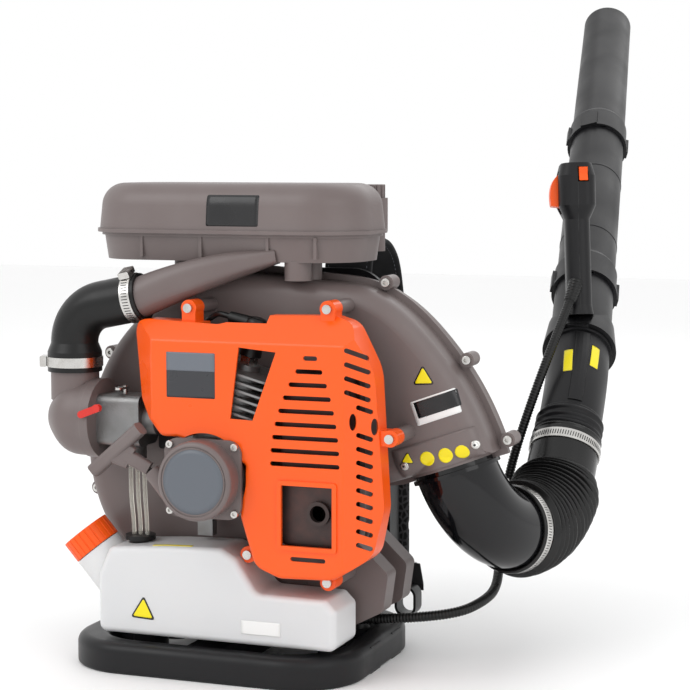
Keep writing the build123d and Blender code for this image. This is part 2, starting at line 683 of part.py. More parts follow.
with BuildPart() as engine_cover:
    add(cover_block(0))
    front_edges = engine_cover.faces().sort_by(Axis.Y)[0].edges()
    fillet(front_edges, 5)
    with BuildSketch(front(COVER_REAR)):
        with Locations(*COVER_LUGS):
            Circle(9)
        with Locations((-18, 394), (144, 398), (144, 121), (206, 272), (61, 138)):
            Rectangle(16, 16)
    extrude(amount=22)
    with BuildSketch(front(COVER_FRONT + 3)):
        with Locations(((TAIL_WINDOW[0] + TAIL_WINDOW[2]) / 2, (TAIL_WINDOW[1] + TAIL_WINDOW[3]) / 2)):
            RectangleRounded(TAIL_WINDOW[2] - TAIL_WINDOW[0] + 10, TAIL_WINDOW[3] - TAIL_WINDOW[1] + 10, 4)
    extrude(amount=5)
    add(cover_block(COVER_T), mode=Mode.SUBTRACT)
    add(tank_block(-1.5), mode=Mode.SUBTRACT)
    with BuildSketch(front(COVER_REAR)):
        with Locations((FAN_X, FAN_Z)):
            Circle(COVER_CUT_R)
        with BuildLine():
            Polyline((-40, 262), (FAN_X, FAN_Z), (52, 184), (-40, 184), close=True)
        make_face()
        with Locations(((TAIL_WINDOW[0] + TAIL_WINDOW[2]) / 2, (TAIL_WINDOW[1] + TAIL_WINDOW[3]) / 2)):
            Rectangle(TAIL_WINDOW[2] - TAIL_WINDOW[0], TAIL_WINDOW[3] - TAIL_WINDOW[1])
        with BuildLine():
            Polyline(*FIN_WINDOW, close=True)
        make_face()
        for i in range(SLOT_ROWS):
            spread = (1 - i / (SLOT_ROWS - 1)) ** 2
            left, right = 89 + 38 * spread, 168 - 25 * spread
            with Locations(((left + right) / 2, SLOT_TOP - i * SLOT_PITCH)):
                SlotOverall(right - left, SLOT_T)
        with Locations((132, 142)):
            SlotOverall(40, SLOT_T)
        with Locations(*COVER_LUGS, *STARTER_SCREWS):
            Circle(SCREW_R + 0.2)
    extrude(amount=70, mode=Mode.SUBTRACT)
    with BuildSketch(front(COVER_REAR)):
        with Locations((37, 396)):
            Rectangle(78, 36)
        with Locations((-60, 283)):
            Rectangle(60, 52)
    extrude(amount=27, mode=Mode.SUBTRACT)
    flank = Plane(origin=(190, COVER_FRONT + 18 * tan(radians(FLANK_SLOPE)), 0), x_dir=(0.788, 0.616, 0),
                  z_dir=(0.616, -0.788, 0))
    with BuildSketch(flank.offset(12)):
        for i in range(FLANK_SLOTS):
            long = i < 4
            if i != 5:
                with Locations(Location((-7 if long else 1, 362 - i * 14.6), -20)):
                    SlotOverall(31 if long else 20, SLOT_T)
        with Locations((-12, 291), (12, 285)):
            Ellipse(4, 9)
    extrude(amount=-30, mode=Mode.SUBTRACT)
finish(engine_cover, "engine_cover")

with BuildPart() as cover_screws:
    with BuildSketch(front(COVER_REAR - 22)):
        with Locations(*COVER_LUGS):
            Circle(5)
    extrude(amount=4)
    with BuildSketch(front(COVER_REAR)):
        with Locations(*COVER_LUGS):
            Circle(SCREW_R)
    extrude(amount=22)
finish(cover_screws, "cover_screws")

# ------------------------------------------------------------ recoil starter
STARTER_REAR = CASE_FRONT - 1
STEM_DIR = Vector(-1, 0, 1).normalized()
ROPE_GUIDE = Vector(-48, -152, 226)    # mouth of the rope guide
ROPE_R = 2.2
PULLEY_R = 33
PULLEY_Y = (-160, -146)

with BuildPart() as starter_housing:
    with BuildSketch(front(FLANGE_Y)):
        with Locations((FAN_X, FAN_Z)):
            RectangleRounded(90, 86, 16)
    extrude(amount=FLANGE_T)
    with BuildSketch(front(STARTER_REAR)):
        with Locations((FAN_X, FAN_Z)):
            Circle(STARTER_R)
    extrude(amount=STARTER_REAR - STARTER_FRONT)
    fillet(starter_housing.edges().group_by(Axis.Y)[0], 5)
    with BuildSketch(axis_plane(ROPE_GUIDE - STEM_DIR * 39, STEM_DIR)):
        Circle(12)
    extrude(amount=41, taper=4)
    with BuildSketch(front(STARTER_REAR)):
        with Locations((FAN_X, FAN_Z)):
            Circle(STARTER_R - 3.5)
    extrude(amount=STARTER_REAR - STARTER_FRONT - 4, mode=Mode.SUBTRACT)
    with BuildSketch(front(STARTER_FRONT + 1)):
        with Locations((FAN_X, FAN_Z)):
            Circle(38)
            Circle(36.6, mode=Mode.SUBTRACT)
    extrude(amount=4, mode=Mode.SUBTRACT)
    with BuildSketch(front(FLANGE_Y + 1)):
        with Locations(*STARTER_SCREWS):
            Circle(2.3)
    extrude(amount=8, mode=Mode.SUBTRACT)
    with BuildSketch(axis_plane(ROPE_GUIDE - STEM_DIR * 46, STEM_DIR)):
        Circle(ROPE_R + 0.6)
    extrude(amount=60, mode=Mode.SUBTRACT)
    with BuildSketch(front(PULLEY_Y[1] + 2)):
        with Locations((FAN_X, FAN_Z)):
            Circle(7)
    extrude(amount=PULLEY_Y[1] + 2 - STARTER_FRONT - 3)
finish(starter_housing, "starter_housing")

finish(screws(STARTER_SCREWS, FLANGE_Y - FLANGE_T, 9, head_r=4.2, head_h=3.4, shank_r=2.2),
       "starter_screws")

with BuildPart() as starter_pulley:
    with BuildSketch(front(PULLEY_Y[1])):
        with Locations((FAN_X, FAN_Z)):
            Circle(PULLEY_R + 4)
            Circle(7 + SHAFT_FIT, mode=Mode.SUBTRACT)
            with PolarLocations(19, 5):
                Circle(5.5, mode=Mode.SUBTRACT)
    extrude(amount=PULLEY_Y[1] - PULLEY_Y[0])
    with BuildSketch(front(PULLEY_Y[1] - 3)):
        with Locations((FAN_X, FAN_Z)):
            Circle(PULLEY_R + 5)
            Circle(PULLEY_R - 8, mode=Mode.SUBTRACT)
    extrude(amount=PULLEY_Y[1] - PULLEY_Y[0] - 6, mode=Mode.SUBTRACT)
    with BuildSketch(front(PULLEY_Y[1] - 4)):
        with Locations((FAN_X, FAN_Z)):
            Circle(PULLEY_R - 1)
            Circle(PULLEY_R - 8, mode=Mode.SUBTRACT)
    extrude(amount=PULLEY_Y[1] - PULLEY_Y[0] - 8)
finish(starter_pulley, "starter_pulley")

with BuildPart() as recoil_spring:
    with BuildSketch(front(PULLEY_Y[0] - 3)):
        with Locations((FAN_X, FAN_Z)):
            for turn in (4, 3, 2, 1, 0):
                Circle(14 + 5 * turn)
                Circle(12.6 + 5 * turn, mode=Mode.SUBTRACT)
            with Locations((23, 0)):
                Rectangle(24, 2)
    extrude(amount=6)
finish(recoil_spring, "recoil_spring")

BAR_MID = Vector(-88, -158, 250)
BAR_DIR = Vector(0.755, 0, 0.656).normalized()
STEM_FOOT = ROPE_GUIDE + STEM_DIR * 6
with BuildPart() as starter_handle:
    stem_dir = (STEM_FOOT - BAR_MID).normalized()
    stem_length = (STEM_FOOT - BAR_MID).length
    with BuildSketch(axis_plane(BAR_MID - BAR_DIR * 38, BAR_DIR, (0, 1, 0))):
        RectangleRounded(17, 15, 5)
    extrude(amount=76)
    with BuildSketch(axis_plane(BAR_MID, stem_dir, (0, 1, 0))):
        RectangleRounded(15, 30, 5)
    extrude(amount=stem_length * 0.45, taper=8)
    with BuildSketch(axis_plane(BAR_MID, stem_dir, (0, 1, 0))):
        RectangleRounded(13, 17, 5)
    extrude(amount=stem_length, taper=2)
finish(starter_handle, "starter_handle")

with BuildPart() as starter_rope:
    with BuildSketch(axis_plane(ROPE_GUIDE - STEM_DIR * 38, STEM_DIR)):
        Circle(ROPE_R)
    extrude(amount=43)
finish(starter_rope, "starter_rope")

# ----------------------------------------------- carburettor and intake elbow
CARB_Y, CARB_Z = ENGINE_Y, 277
CARB_LEFT, CARB_RIGHT = -128, -76
SHUTTER_X = -104               # throttle shaft position along the bore
BORE_CARB = 13
with BuildPart() as carburettor:
    with BuildSketch(side(CARB_LEFT)):
        with Locations((CARB_Y, CARB_Z)):
            RectangleRounded(48, 56, 8)
    extrude(amount=CARB_RIGHT - CARB_LEFT)
    with BuildSketch(Plane.XY.offset(CARB_Z - 44)):
        with Locations((-100, CARB_Y)):
            Circle(20)
    extrude(amount=18)
    with BuildSketch(side(CARB_RIGHT)):
        with Locations((CARB_Y, CARB_Z)):
            Circle(16)
    extrude(amount=14)
    with BuildSketch(side(CARB_LEFT - 1)):
        with Locations((CARB_Y, CARB_Z)):
            Circle(BORE_CARB)
    extrude(amount=80, mode=Mode.SUBTRACT)
    with BuildSketch(Plane.XY.offset(CARB_Z - 22)):
        with Locations((SHUTTER_X, CARB_Y)):
            Circle(3 + SHAFT_FIT)
    extrude(amount=60, mode=Mode.SUBTRACT)
finish(carburettor, "carburettor")

with BuildPart() as throttle_shaft:
    with BuildSketch(Plane.XY.offset(CARB_Z - 20)):
        with Locations((SHUTTER_X, CARB_Y)):
            Circle(3)
    extrude(amount=57)
    with BuildSketch(side(SHUTTER_X - 0.75)):
        with Locations((CARB_Y, CARB_Z)):
            Circle(BORE_CARB - 0.4)
    extrude(amount=1.5)
    with BuildSketch(Plane.XY.offset(CARB_Z + 34)):
        with Locations((SHUTTER_X, CARB_Y - 8)):
            SlotOverall(26, 9, rotation=90)
    extrude(amount=2.5)
finish(throttle_shaft, "throttle_shaft")

PORT = cyl_plane.from_local_coords((-FIN_X / 2 - 2.2, 0, 68))
with BuildPart() as intake_manifold:
    with BuildSketch(side(CARB_RIGHT + 14.2)):
        with Locations((CARB_Y, CARB_Z)):
            Circle(17)
    with BuildSketch(Plane(origin=PORT, x_dir=(0, 1, 0), z_dir=cyl_plane.x_dir)):
        Rectangle(32, 26)
    loft()
finish(intake_manifold, "intake_manifold")

INTAKE_Y, INTAKE_Z = -108, 277
DOME_LEFT, DOME_RIGHT, DOME_R = -194, -138, 43
CHOKE_PIVOT = (-133, 286)
HORN_END = Vector(-95, INTAKE_Y, 411)
HORN_DIR = Vector(-0.98, 0, -0.2).normalized()
HORN_R, NECK_R_OUT = 23, 27
RUBBER_T, RUBBER_BEND, RUBBER_LEAD = 3.4, 44, 52
RUBBER_IN = HORN_END - HORN_DIR * 16
NECK_TOP = bend_end(RUBBER_IN + HORN_DIR * RUBBER_LEAD, HORN_DIR, (0, 0, -1), RUBBER_BEND)


def dome_section(inset):
    """Half section of the intake dome, closed on its axis."""
    r, left = DOME_R - inset, DOME_LEFT + inset
    with BuildLine() as outline:
        Polyline((left, 0), (DOME_RIGHT, 0), (DOME_RIGHT, r), (DOME_RIGHT - 10, r))
        Spline((DOME_RIGHT - 10, r), (-170, r - 4), (left + 7, r - 20), (left, 0), tangents=((-1, 0), (0, -1)))
    return outline.edges()


with BuildPart() as intake_housing:
    with BuildSketch(Plane(origin=(0, INTAKE_Y, INTAKE_Z), x_dir=(1, 0, 0), z_dir=(0, -1, 0))):
        make_face(dome_section(0))
    revolve(axis=Axis((0, INTAKE_Y, INTAKE_Z), (1, 0, 0)))
    with BuildSketch(side(DOME_RIGHT - 5)):
        with Locations((INTAKE_Y, INTAKE_Z)):
            Circle(DOME_R + 1.5)
            Circle(DOME_R - 2, mode=Mode.SUBTRACT)
    extrude(amount=5)
    with BuildSketch(Plane.XY.offset(INTAKE_Z + 20)):
        with Locations((NECK_TOP.X, INTAKE_Y)):
            Circle(NECK_R_OUT)
    extrude(amount=52)
    with BuildSketch(Plane(origin=(0, INTAKE_Y, INTAKE_Z), x_dir=(1, 0, 0), z_dir=(0, -1, 0))):
        make_face(dome_section(2.5))
    revolve(axis=Axis((0, INTAKE_Y, INTAKE_Z), (1, 0, 0)), mode=Mode.SUBTRACT)
    with BuildSketch(Plane.XY.offset(INTAKE_Z + 22)):
        with Locations((NECK_TOP.X, INTAKE_Y)):
            Circle(NECK_R_OUT - 2.5)
    extrude(amount=54, mode=Mode.SUBTRACT)
finish(intake_housing, "intake_housing")

with BuildPart() as intake_plate:
    with BuildSketch(side(DOME_RIGHT)):
        with Locations((INTAKE_Y, INTAKE_Z)):
            Circle(DOME_R + 1.5)
        with Locations((CARB_Y, CARB_Z)):
            Circle(BORE_CARB, mode=Mode.SUBTRACT)
    extrude(amount=CARB_LEFT - DOME_RIGHT)
    with BuildSketch(front(INTAKE_Y - 20)):
        with Locations(CHOKE_PIVOT):
            Circle(2 + SHAFT_FIT)
    extrude(amount=40, mode=Mode.SUBTRACT)
finish(intake_plate, "intake_plate")

CHOKE_FRONT = INTAKE_Y - DOME_R - 2.2
with BuildPart() as choke_lever:
    with BuildSketch(front(CHOKE_FRONT - GAP)):
        with Locations((CHOKE_PIVOT[0] + 10, CHOKE_PIVOT[1] + 4)):
            SlotOverall(30, 8, rotation=21)
    extrude(amount=3)
    with BuildSketch(front(CHOKE_FRONT - GAP)):
        with Locations((CHOKE_PIVOT[0] + 20, CHOKE_PIVOT[1] + 8)):
            Circle(4.5)
    extrude(amount=6)
    with BuildSketch(front(CHOKE_FRONT + 9)):
        with Locations(CHOKE_PIVOT):
            Circle(2)
    extrude(amount=10)
finish(choke_lever, "choke_lever")


def elbow_tube(grow, reach):
    """Solid core of the rubber elbow: straight, bend, flare and lower cuff."""
    with BuildPart() as core:
        with BuildLine(arc_plane(RUBBER_IN, HORN_DIR, (0, 0, -1))) as centre:
            lead = Line((0, 0), (RUBBER_LEAD, 0))
            JernArc(lead @ 1, lead % 1, RUBBER_BEND, HORN_DIR.get_angle(Vector(0, 0, -1)))
        with BuildSketch(axis_plane(RUBBER_IN, HORN_DIR)):
            Circle(HORN_R + grow)
        sweep(path=centre.wires()[0])
        low = Plane(origin=tuple(NECK_TOP))
        with BuildSketch(low):
            Circle(HORN_R + grow)
        with BuildSketch(low.offset(-10)):
            Circle(NECK_R_OUT + grow)
        loft()
        with BuildSketch(low.offset(-10)):
            Circle(NECK_R_OUT + grow)
        extrude(amount=-reach)
    return core.part


with BuildPart() as intake_elbow:
    add(elbow_tube(RUBBER_T, 22))
    add(elbow_tube(0.05, 40), mode=Mode.SUBTRACT)
finish(intake_elbow, "intake_elbow")


def band_clamp(point, direction, inner_r, width=10, thick=1.2, screw_turn=0):
    """Worm-drive hose clamp: a band with its screw housing."""
    plane = axis_plane(point, direction)
    with BuildPart() as clamp:
        with BuildSketch(plane.offset(-width / 2)):
            Circle(inner_r + thick)
            Circle(inner_r, mode=Mode.SUBTRACT)
        extrude(amount=width)
        out = plane.x_dir.rotate(Axis((0, 0, 0), tuple(plane.z_dir)), screw_turn)
        screw = plane.z_dir.cross(out)
        seat = Vector(*plane.origin) + out * (inner_r + thick + 3)
        with BuildSketch(Plane(origin=tuple(seat - screw * 9), x_dir=tuple(out), z_dir=tuple(screw))):
            RectangleRounded(7.4, width + 1, 1.5)
        extrude(amount=18)
    return clamp


with BuildPart() as intake_clamps:
    add(band_clamp(HORN_END - HORN_DIR * 6, HORN_DIR, HORN_R + RUBBER_T + 0.02, 12, screw_turn=160).part)
    add(band_clamp(NECK_TOP - Vector(0, 0, 21), (0, 0, 1), NECK_R_OUT + RUBBER_T + 0.02, 11,
                   screw_turn=200).part)
finish(intake_clamps, "intake_clamps")

# --------------------------------------------------------------- air cleaner
TRAY_H, TRAY_IN = 30, 12
TRAY_LOW = LID_Z - TRAY_H
KNOB_SPOTS = ((-140, 50), (134, 50))
DUCT_MID = Vector(-20, -92, 437)
DUCT_END = Vector(64, -67, 459)


def duct(grow):
    """Solid core of the intake duct: round horn, flattening into the tray floor."""
    horn = axis_plane(RUBBER_IN, HORN_DIR, (0, 1, 0))
    with BuildPart() as core:
        with BuildSketch(horn):
            Circle(HORN_R + grow)
        extrude(amount=16 - grow)
        with BuildSketch(horn):
            Circle(HORN_R + grow)
        with BuildSketch(axis_plane(DUCT_MID, (-0.95, -0.2, -0.2), (0, 1, 0))):
            RectangleRounded(44 + 2 * grow, 38 + 2 * grow, 14)
        with BuildSketch(axis_plane(DUCT_END, (-0.95, -0.25, -0.15), (0, 1, 0))):
            RectangleRounded(36 + 2 * grow, 16 + 2 * grow, 5)
        loft()
    return core.part


with BuildPart() as air_cleaner_base:
    with BuildSketch(Plane.XY.offset(LID_Z)):
        with Locations(LID_MID):
            RectangleRounded(LID_X - 6, LID_Y - 6, LID_R - 3)
    extrude(amount=-3)
    with BuildSketch(Plane.XY.offset(LID_Z - 2)):
        with Locations(LID_MID):
            RectangleRounded(LID_X - TRAY_IN, LID_Y - TRAY_IN, LID_R - TRAY_IN / 2)
    extrude(amount=-TRAY_H + 2, taper=8)
    for dx in (-90, -18, 62, 118):
        with BuildSketch(Plane.XY.offset(LID_Z - 2)):
            with Locations((LID_MID[0] + dx, LID_MID[1] - LID_Y / 2 + 8)):
                Rectangle(3.5, 6)
        extrude(amount=-TRAY_H + 6)
    with BuildSketch(Plane.XY.offset(LID_Z)):
        with Locations(*KNOB_SPOTS):
            Circle(13)
    extrude(amount=-22)
    with BuildSketch(Plane.XY.offset(LID_Z)):
        with Locations(LID_MID):
            RectangleRounded(LID_X - TRAY_IN - 6, LID_Y - TRAY_IN - 6, LID_R - TRAY_IN / 2 - 3)
    extrude(amount=-TRAY_H + 3, taper=8, mode=Mode.SUBTRACT)
    add(duct(0))
    with BuildSketch(Plane.XY.offset(TRAY_LOW + 1)):
        with Locations((88, -66)):
            Circle(15)
    extrude(amount=-21)
    with BuildSketch(Plane.XY.offset(TRAY_LOW + 1)):
        with Locations((-64, -34), (92, -34)):
            Circle(11)
    extrude(amount=-34)
    add(volute_block(HOUSING_FRONT, HOUSING_REAR, 0.2, round_front=20), mode=Mode.SUBTRACT)
    add(duct(-2.5), mode=Mode.SUBTRACT)
    with BuildSketch(Plane.XY.offset(LID_Z)):
        with Locations(*KNOB_SPOTS):
            Circle(4.2)
    extrude(amount=-18, mode=Mode.SUBTRACT)
    with BuildSketch(Plane.XY.offset(TRAY_LOW + 3.1)):
        with Locations(LID_MID):
            RectangleRounded(LID_X - 40, LID_Y - 40, 40)
    extrude(amount=40, mode=Mode.SUBTRACT)
finish(air_cleaner_base, "air_cleaner_base")

FILTER_LOW = TRAY_LOW + 3.2
with BuildPart() as air_filter:
    with BuildSketch(Plane.XY.offset(FILTER_LOW)):
        with Locations(LID_MID):
            RectangleRounded(236, 104, 40)
            RectangleRounded(196, 64, 8, mode=Mode.SUBTRACT)
    extrude(amount=52)
    with BuildSketch(Plane.XY.offset(FILTER_LOW + 52)):
        with Locations(LID_MID):
            RectangleRounded(240, 108, 42)
    extrude(amount=4)
finish(air_filter, "air_filter")

BOSS_H = 38                    # the knob seats stand this high above the lid seam
BOSS_R = 16
LID_TAPER, LID_ROUND, LID_T = 6, 26, 3


def lid_block(inset):
    """Solid domed lid body, moved inwards by inset."""
    with BuildPart() as block:
        with BuildSketch(Plane.XY.offset(LID_Z + GAP)):
            with Locations(LID_MID):
                RectangleRounded(LID_X - 2 * inset, LID_Y - 2 * inset, LID_R - inset)
        extrude(amount=LID_H - inset, taper=LID_TAPER)
        fillet(block.edges().group_by(Axis.Z)[-1], LID_ROUND - inset)
        if inset:
            with BuildSketch(Plane.XY.offset(LID_Z + GAP)):
                with Locations(*KNOB_SPOTS):
                    Circle(BOSS_R + LID_T + 1)
            extrude(amount=LID_H, mode=Mode.SUBTRACT)
    return block.part


with BuildPart() as air_cleaner_lid:
    add(lid_block(0))
    with BuildSketch(Plane.XY.offset(LID_Z + GAP)):
        with Locations(LID_MID):
            RectangleRounded(LID_X + 4, LID_Y + 4, LID_R + 2)
    extrude(amount=4)
    with BuildSketch(Plane.XY.offset(LID_Z + GAP)):
        with Locations(*KNOB_SPOTS):
            Circle(BOSS_R)
    extrude(amount=BOSS_H)
    add(lid_block(LID_T), mode=Mode.SUBTRACT)
    with BuildSketch(Plane.XY.offset(LID_Z + GAP)):
        with Locations(*KNOB_SPOTS):
            Circle(4 + SHAFT_FIT)
    extrude(amount=60, mode=Mode.SUBTRACT)
    with BuildSketch(Plane.XY.offset(LID_Z + GAP + BOSS_H)):
        with Locations(*KNOB_SPOTS):
            Circle(BOSS_R + 1)
    extrude(amount=40, mode=Mode.SUBTRACT)
finish(air_cleaner_lid, "air_cleaner_lid")

for knob_name, spot in zip(("knob_left", "knob_right"), KNOB_SPOTS):
    with BuildPart() as knob:
        with BuildSketch(Plane.XY.offset(LID_Z + GAP + BOSS_H + 0.2)):
            with Locations(spot):
                Circle(13)
                with PolarLocations(13, 12):
                    Circle(1.8, mode=Mode.SUBTRACT)
        extrude(amount=15)
        fillet(knob.faces().sort_by(Axis.Z)[-1].edges(), 1.0)
        with BuildSketch(Plane.XY.offset(LID_Z - 14)):
            with Locations(spot):
                Circle(4)
        extrude(amount=GAP + 53)
    finish(knob, knob_name)

# ----------------------------------------------------------------- fuel tank
NECK_DIR = Vector(-0.62, -0.10, 0.78).normalized()
NECK_FOOT = Vector(-113, -103, 96)
NECK_TOP_H = (Vector(-148, -106, 127) - NECK_FOOT).dot(NECK_DIR)   # the cap's lower edge
LINE_SPOT = (-88, -103)        # grommet that the fuel lines pass through


def neck_ring(start, outer, inner, height):
    """Ring or disc about the filler neck axis, start above the neck foot."""
    with BuildPart() as ring:
        with BuildSketch(axis_plane(NECK_FOOT + NECK_DIR * start, NECK_DIR)):
            Circle(outer)
            if inner:
                Circle(inner, mode=Mode.SUBTRACT)
        extrude(amount=height)
    return ring.part


with BuildPart() as fuel_tank:
    add(tank_block(0))
    add(neck_ring(0, NECK_R + 6, 0, NECK_TOP_H - 4))
    add(neck_ring(0, NECK_R, 0, NECK_TOP_H + 12))
    add(tank_block(TANK_T), mode=Mode.SUBTRACT)
    add(neck_ring(0, NECK_R - 3, 0, 80), mode=Mode.SUBTRACT)
    with BuildSketch(Plane.XY.offset(120)):
        with Locations(LINE_SPOT):
            Circle(13)
    extrude(amount=40, mode=Mode.SUBTRACT)
finish(fuel_tank, "fuel_tank")

with BuildPart() as fuel_cap:
    with BuildSketch(axis_plane(NECK_FOOT + NECK_DIR * (NECK_TOP_H - 3), NECK_DIR)):
        Circle(CAP_R)
        with PolarLocations(CAP_R, 24):
            Circle(0.9, mode=Mode.SUBTRACT)
        Circle(NECK_R + GAP, mode=Mode.SUBTRACT)
    extrude(amount=CAP_H)
    add(neck_ring(NECK_TOP_H + 17, CAP_R - 2, 0, CAP_H - 20.5))
finish(fuel_cap, "fuel_cap")

with BuildPart() as fuel_grommet:
    with BuildSketch(Plane.XY.offset(136)):
        with Locations(LINE_SPOT):
            Circle(12.95)
    extrude(amount=11)
    with BuildSketch(Plane.XY.offset(142)):
        with Locations(LINE_SPOT):
            Circle(17)
    extrude(amount=5)
    with BuildSketch(Plane.XY.offset(130)):
        with Locations(LINE_SPOT):
            with GridLocations(8, 0, 3, 1):
                Circle(2.55)
    extrude(amount=30, mode=Mode.SUBTRACT)
finish(fuel_grommet, "fuel_grommet")

FUEL_LINE_R = 2.5
with BuildPart() as fuel_lines:
    for dx, drift, top_y in ((-8, -9, -92), (0, -7, -96), (8, -5, -100)):
        x, y = LINE_SPOT[0] + dx, LINE_SPOT[1]
        add(tube_along(((x, y, 118), (x, y, 160), (x + drift * 0.3, y - 1, 188),
                        (x + drift * 0.7, (y + top_y) / 2, 212), (x + drift, top_y, 232)), FUEL_LINE_R).part)
finish(fuel_lines, "fuel_lines")

# ------------------------------------------------------------------ air pipe
ELBOW_BEND, HOSE_BEND, PIPE_BEND = 97, 130, 340      # centre line radii
ELBOW_END_DIR = Vector(0.26, 0.95, -0.14).normalized()
HOSE_END_DIR = Vector(0, 0.64, 0.77).normalized()
PIPE_DIR = Vector(-0.1584, 0.8398, 0.5193).normalized()
SPIGOT_IN = 28                 # how far the elbow sits in the housing collar
ELBOW_RUN = 10                 # straight end of the elbow
CUFF_IN, CUFF_T, CUFF_LONG = 46.4, 2.6, 20
SLEEVE_LOW, SLEEVE_HIGH = 14, 48     # hose sleeve on the swivel pipe, along HOSE_END_DIR
SLEEVE_IN, SLEEVE_T = 38.3, 3
HOSE_START = bend_end(OUTLET, OUTLET_DIR, ELBOW_END_DIR, ELBOW_BEND) + ELBOW_END_DIR * ELBOW_RUN
HOSE_END = bend_end(HOSE_START, ELBOW_END_DIR, HOSE_END_DIR, HOSE_BEND)
PIPE_BEND_START = HOSE_END + HOSE_END_DIR * SLEEVE_HIGH
PIPE_START = bend_end(PIPE_BEND_START, HOSE_END_DIR, PIPE_DIR, PIPE_BEND)
PIPE_X = (0.98, 0, 0)
SOCKET_LONG, SOCKET_R = 45, 41
JOINT_1, JOINT_2, TIP = 148, 517, 890                # distances along the straight pipe
TIP_R, TIP_LONG = 36.5, 30
PEG_R, PEG_IN = 3, 22          # bayonet pegs, set back from the socket mouth
TWIST = 20                     # degrees a joint turns to unlock


def bent_bar(start, d_in, d_out, radius, bend, straight_in=0.0, straight_out=0.0):
    """Solid round bar: optional straight, one bend, optional straight."""
    d_in, d_out = Vector(*d_in), Vector(*d_out)
    angle = d_in.get_angle(d_out)
    with BuildPart() as bar:
        with BuildLine(arc_plane(start - d_in * straight_in, d_in, d_out)) as centre:
            if straight_in:
                lead = Line((0, 0), (straight_in, 0))
                arc = JernArc(lead @ 1, lead % 1, bend, angle)
            else:
                arc = JernArc((0, 0), (1, 0), bend, angle)
            if straight_out:
                Line(arc @ 1, arc @ 1 + (arc % 1) * straight_out)
        with BuildSketch(axis_plane(start - d_in * straight_in, d_in)):
            Circle(radius)
        sweep(path=centre.wires()[0])
    return bar.part


def straight_bar(start, direction, radius, length, end_radius=None):
    """Solid round bar or cone."""
    with BuildPart() as bar:
        if end_radius is None:
            with BuildSketch(axis_plane(start, direction, PIPE_X)):
                Circle(radius)
            extrude(amount=length)
        else:
            with BuildSketch(axis_plane(start, direction, PIPE_X)):
                Circle(radius)
            with BuildSketch(axis_plane(start + direction * length, direction, PIPE_X)):
                Circle(end_radius)
            loft()
    return bar.part


def on_pipe(distance):
    return PIPE_START + PIPE_DIR * distance


with BuildPart() as elbow_pipe:
    add(bent_bar(OUTLET, OUTLET_DIR, ELBOW_END_DIR, ELBOW_R, ELBOW_BEND, SPIGOT_IN, ELBOW_RUN - 0.5))
    add(straight_bar(OUTLET + OUTLET_DIR * (RIM_OUT + GAP), OUTLET_DIR, ELBOW_R + 4, 4))
    add(bent_bar(OUTLET, OUTLET_DIR, ELBOW_END_DIR, ELBOW_R - 2.6, ELBOW_BEND, SPIGOT_IN + 1, ELBOW_RUN + 1),
        mode=Mode.SUBTRACT)
finish(elbow_pipe, "elbow_pipe")

HOSE_RIBS = 14
with BuildPart() as flexible_hose:
    add(straight_bar(HOSE_START - ELBOW_END_DIR * CUFF_LONG, ELBOW_END_DIR, CUFF_IN + CUFF_T, CUFF_LONG))
    add(bent_bar(HOSE_START, ELBOW_END_DIR, HOSE_END_DIR, CUFF_IN + CUFF_T - 1, HOSE_BEND))
    for i in range(HOSE_RIBS):
        swing = (i + 0.5) / HOSE_RIBS * ELBOW_END_DIR.get_angle(HOSE_END_DIR)
        turn_axis = Axis((0, 0, 0), tuple(ELBOW_END_DIR.cross(HOSE_END_DIR)))
        rib_dir = ELBOW_END_DIR.rotate(turn_axis, swing)
        rib_at = bend_end(HOSE_START, ELBOW_END_DIR, rib_dir, HOSE_BEND)
        add(straight_bar(rib_at - rib_dir * 2.4, rib_dir, 52.5 - 0.25 * i, 4.8))
    add(straight_bar(HOSE_END, HOSE_END_DIR, CUFF_IN + CUFF_T - 1, SLEEVE_LOW, SLEEVE_IN + SLEEVE_T))
    add(straight_bar(HOSE_END + HOSE_END_DIR * SLEEVE_LOW, HOSE_END_DIR, SLEEVE_IN + SLEEVE_T,
                     SLEEVE_HIGH - SLEEVE_LOW))
    add(straight_bar(HOSE_START - ELBOW_END_DIR * (CUFF_LONG + 1), ELBOW_END_DIR, CUFF_IN, CUFF_LONG + 1),
        mode=Mode.SUBTRACT)
    add(bent_bar(HOSE_START, ELBOW_END_DIR, HOSE_END_DIR, CUFF_IN - 1, HOSE_BEND), mode=Mode.SUBTRACT)
    add(straight_bar(HOSE_END, HOSE_END_DIR, CUFF_IN - 1, SLEEVE_LOW, SLEEVE_IN), mode=Mode.SUBTRACT)
    add(straight_bar(HOSE_END, HOSE_END_DIR, SLEEVE_IN, SLEEVE_HIGH + 10), mode=Mode.SUBTRACT)
finish(flexible_hose, "flexible_hose")

finish(band_clamp(HOSE_START - ELBOW_END_DIR * 11, ELBOW_END_DIR, CUFF_IN + CUFF_T + 0.02, 12, screw_turn=250),
       "hose_clamp_lower")
finish(band_clamp(HOSE_END + HOSE_END_DIR * 32, HOSE_END_DIR, SLEEVE_IN + SLEEVE_T + GAP, 12,
                  screw_turn=150), "hose_clamp_upper")

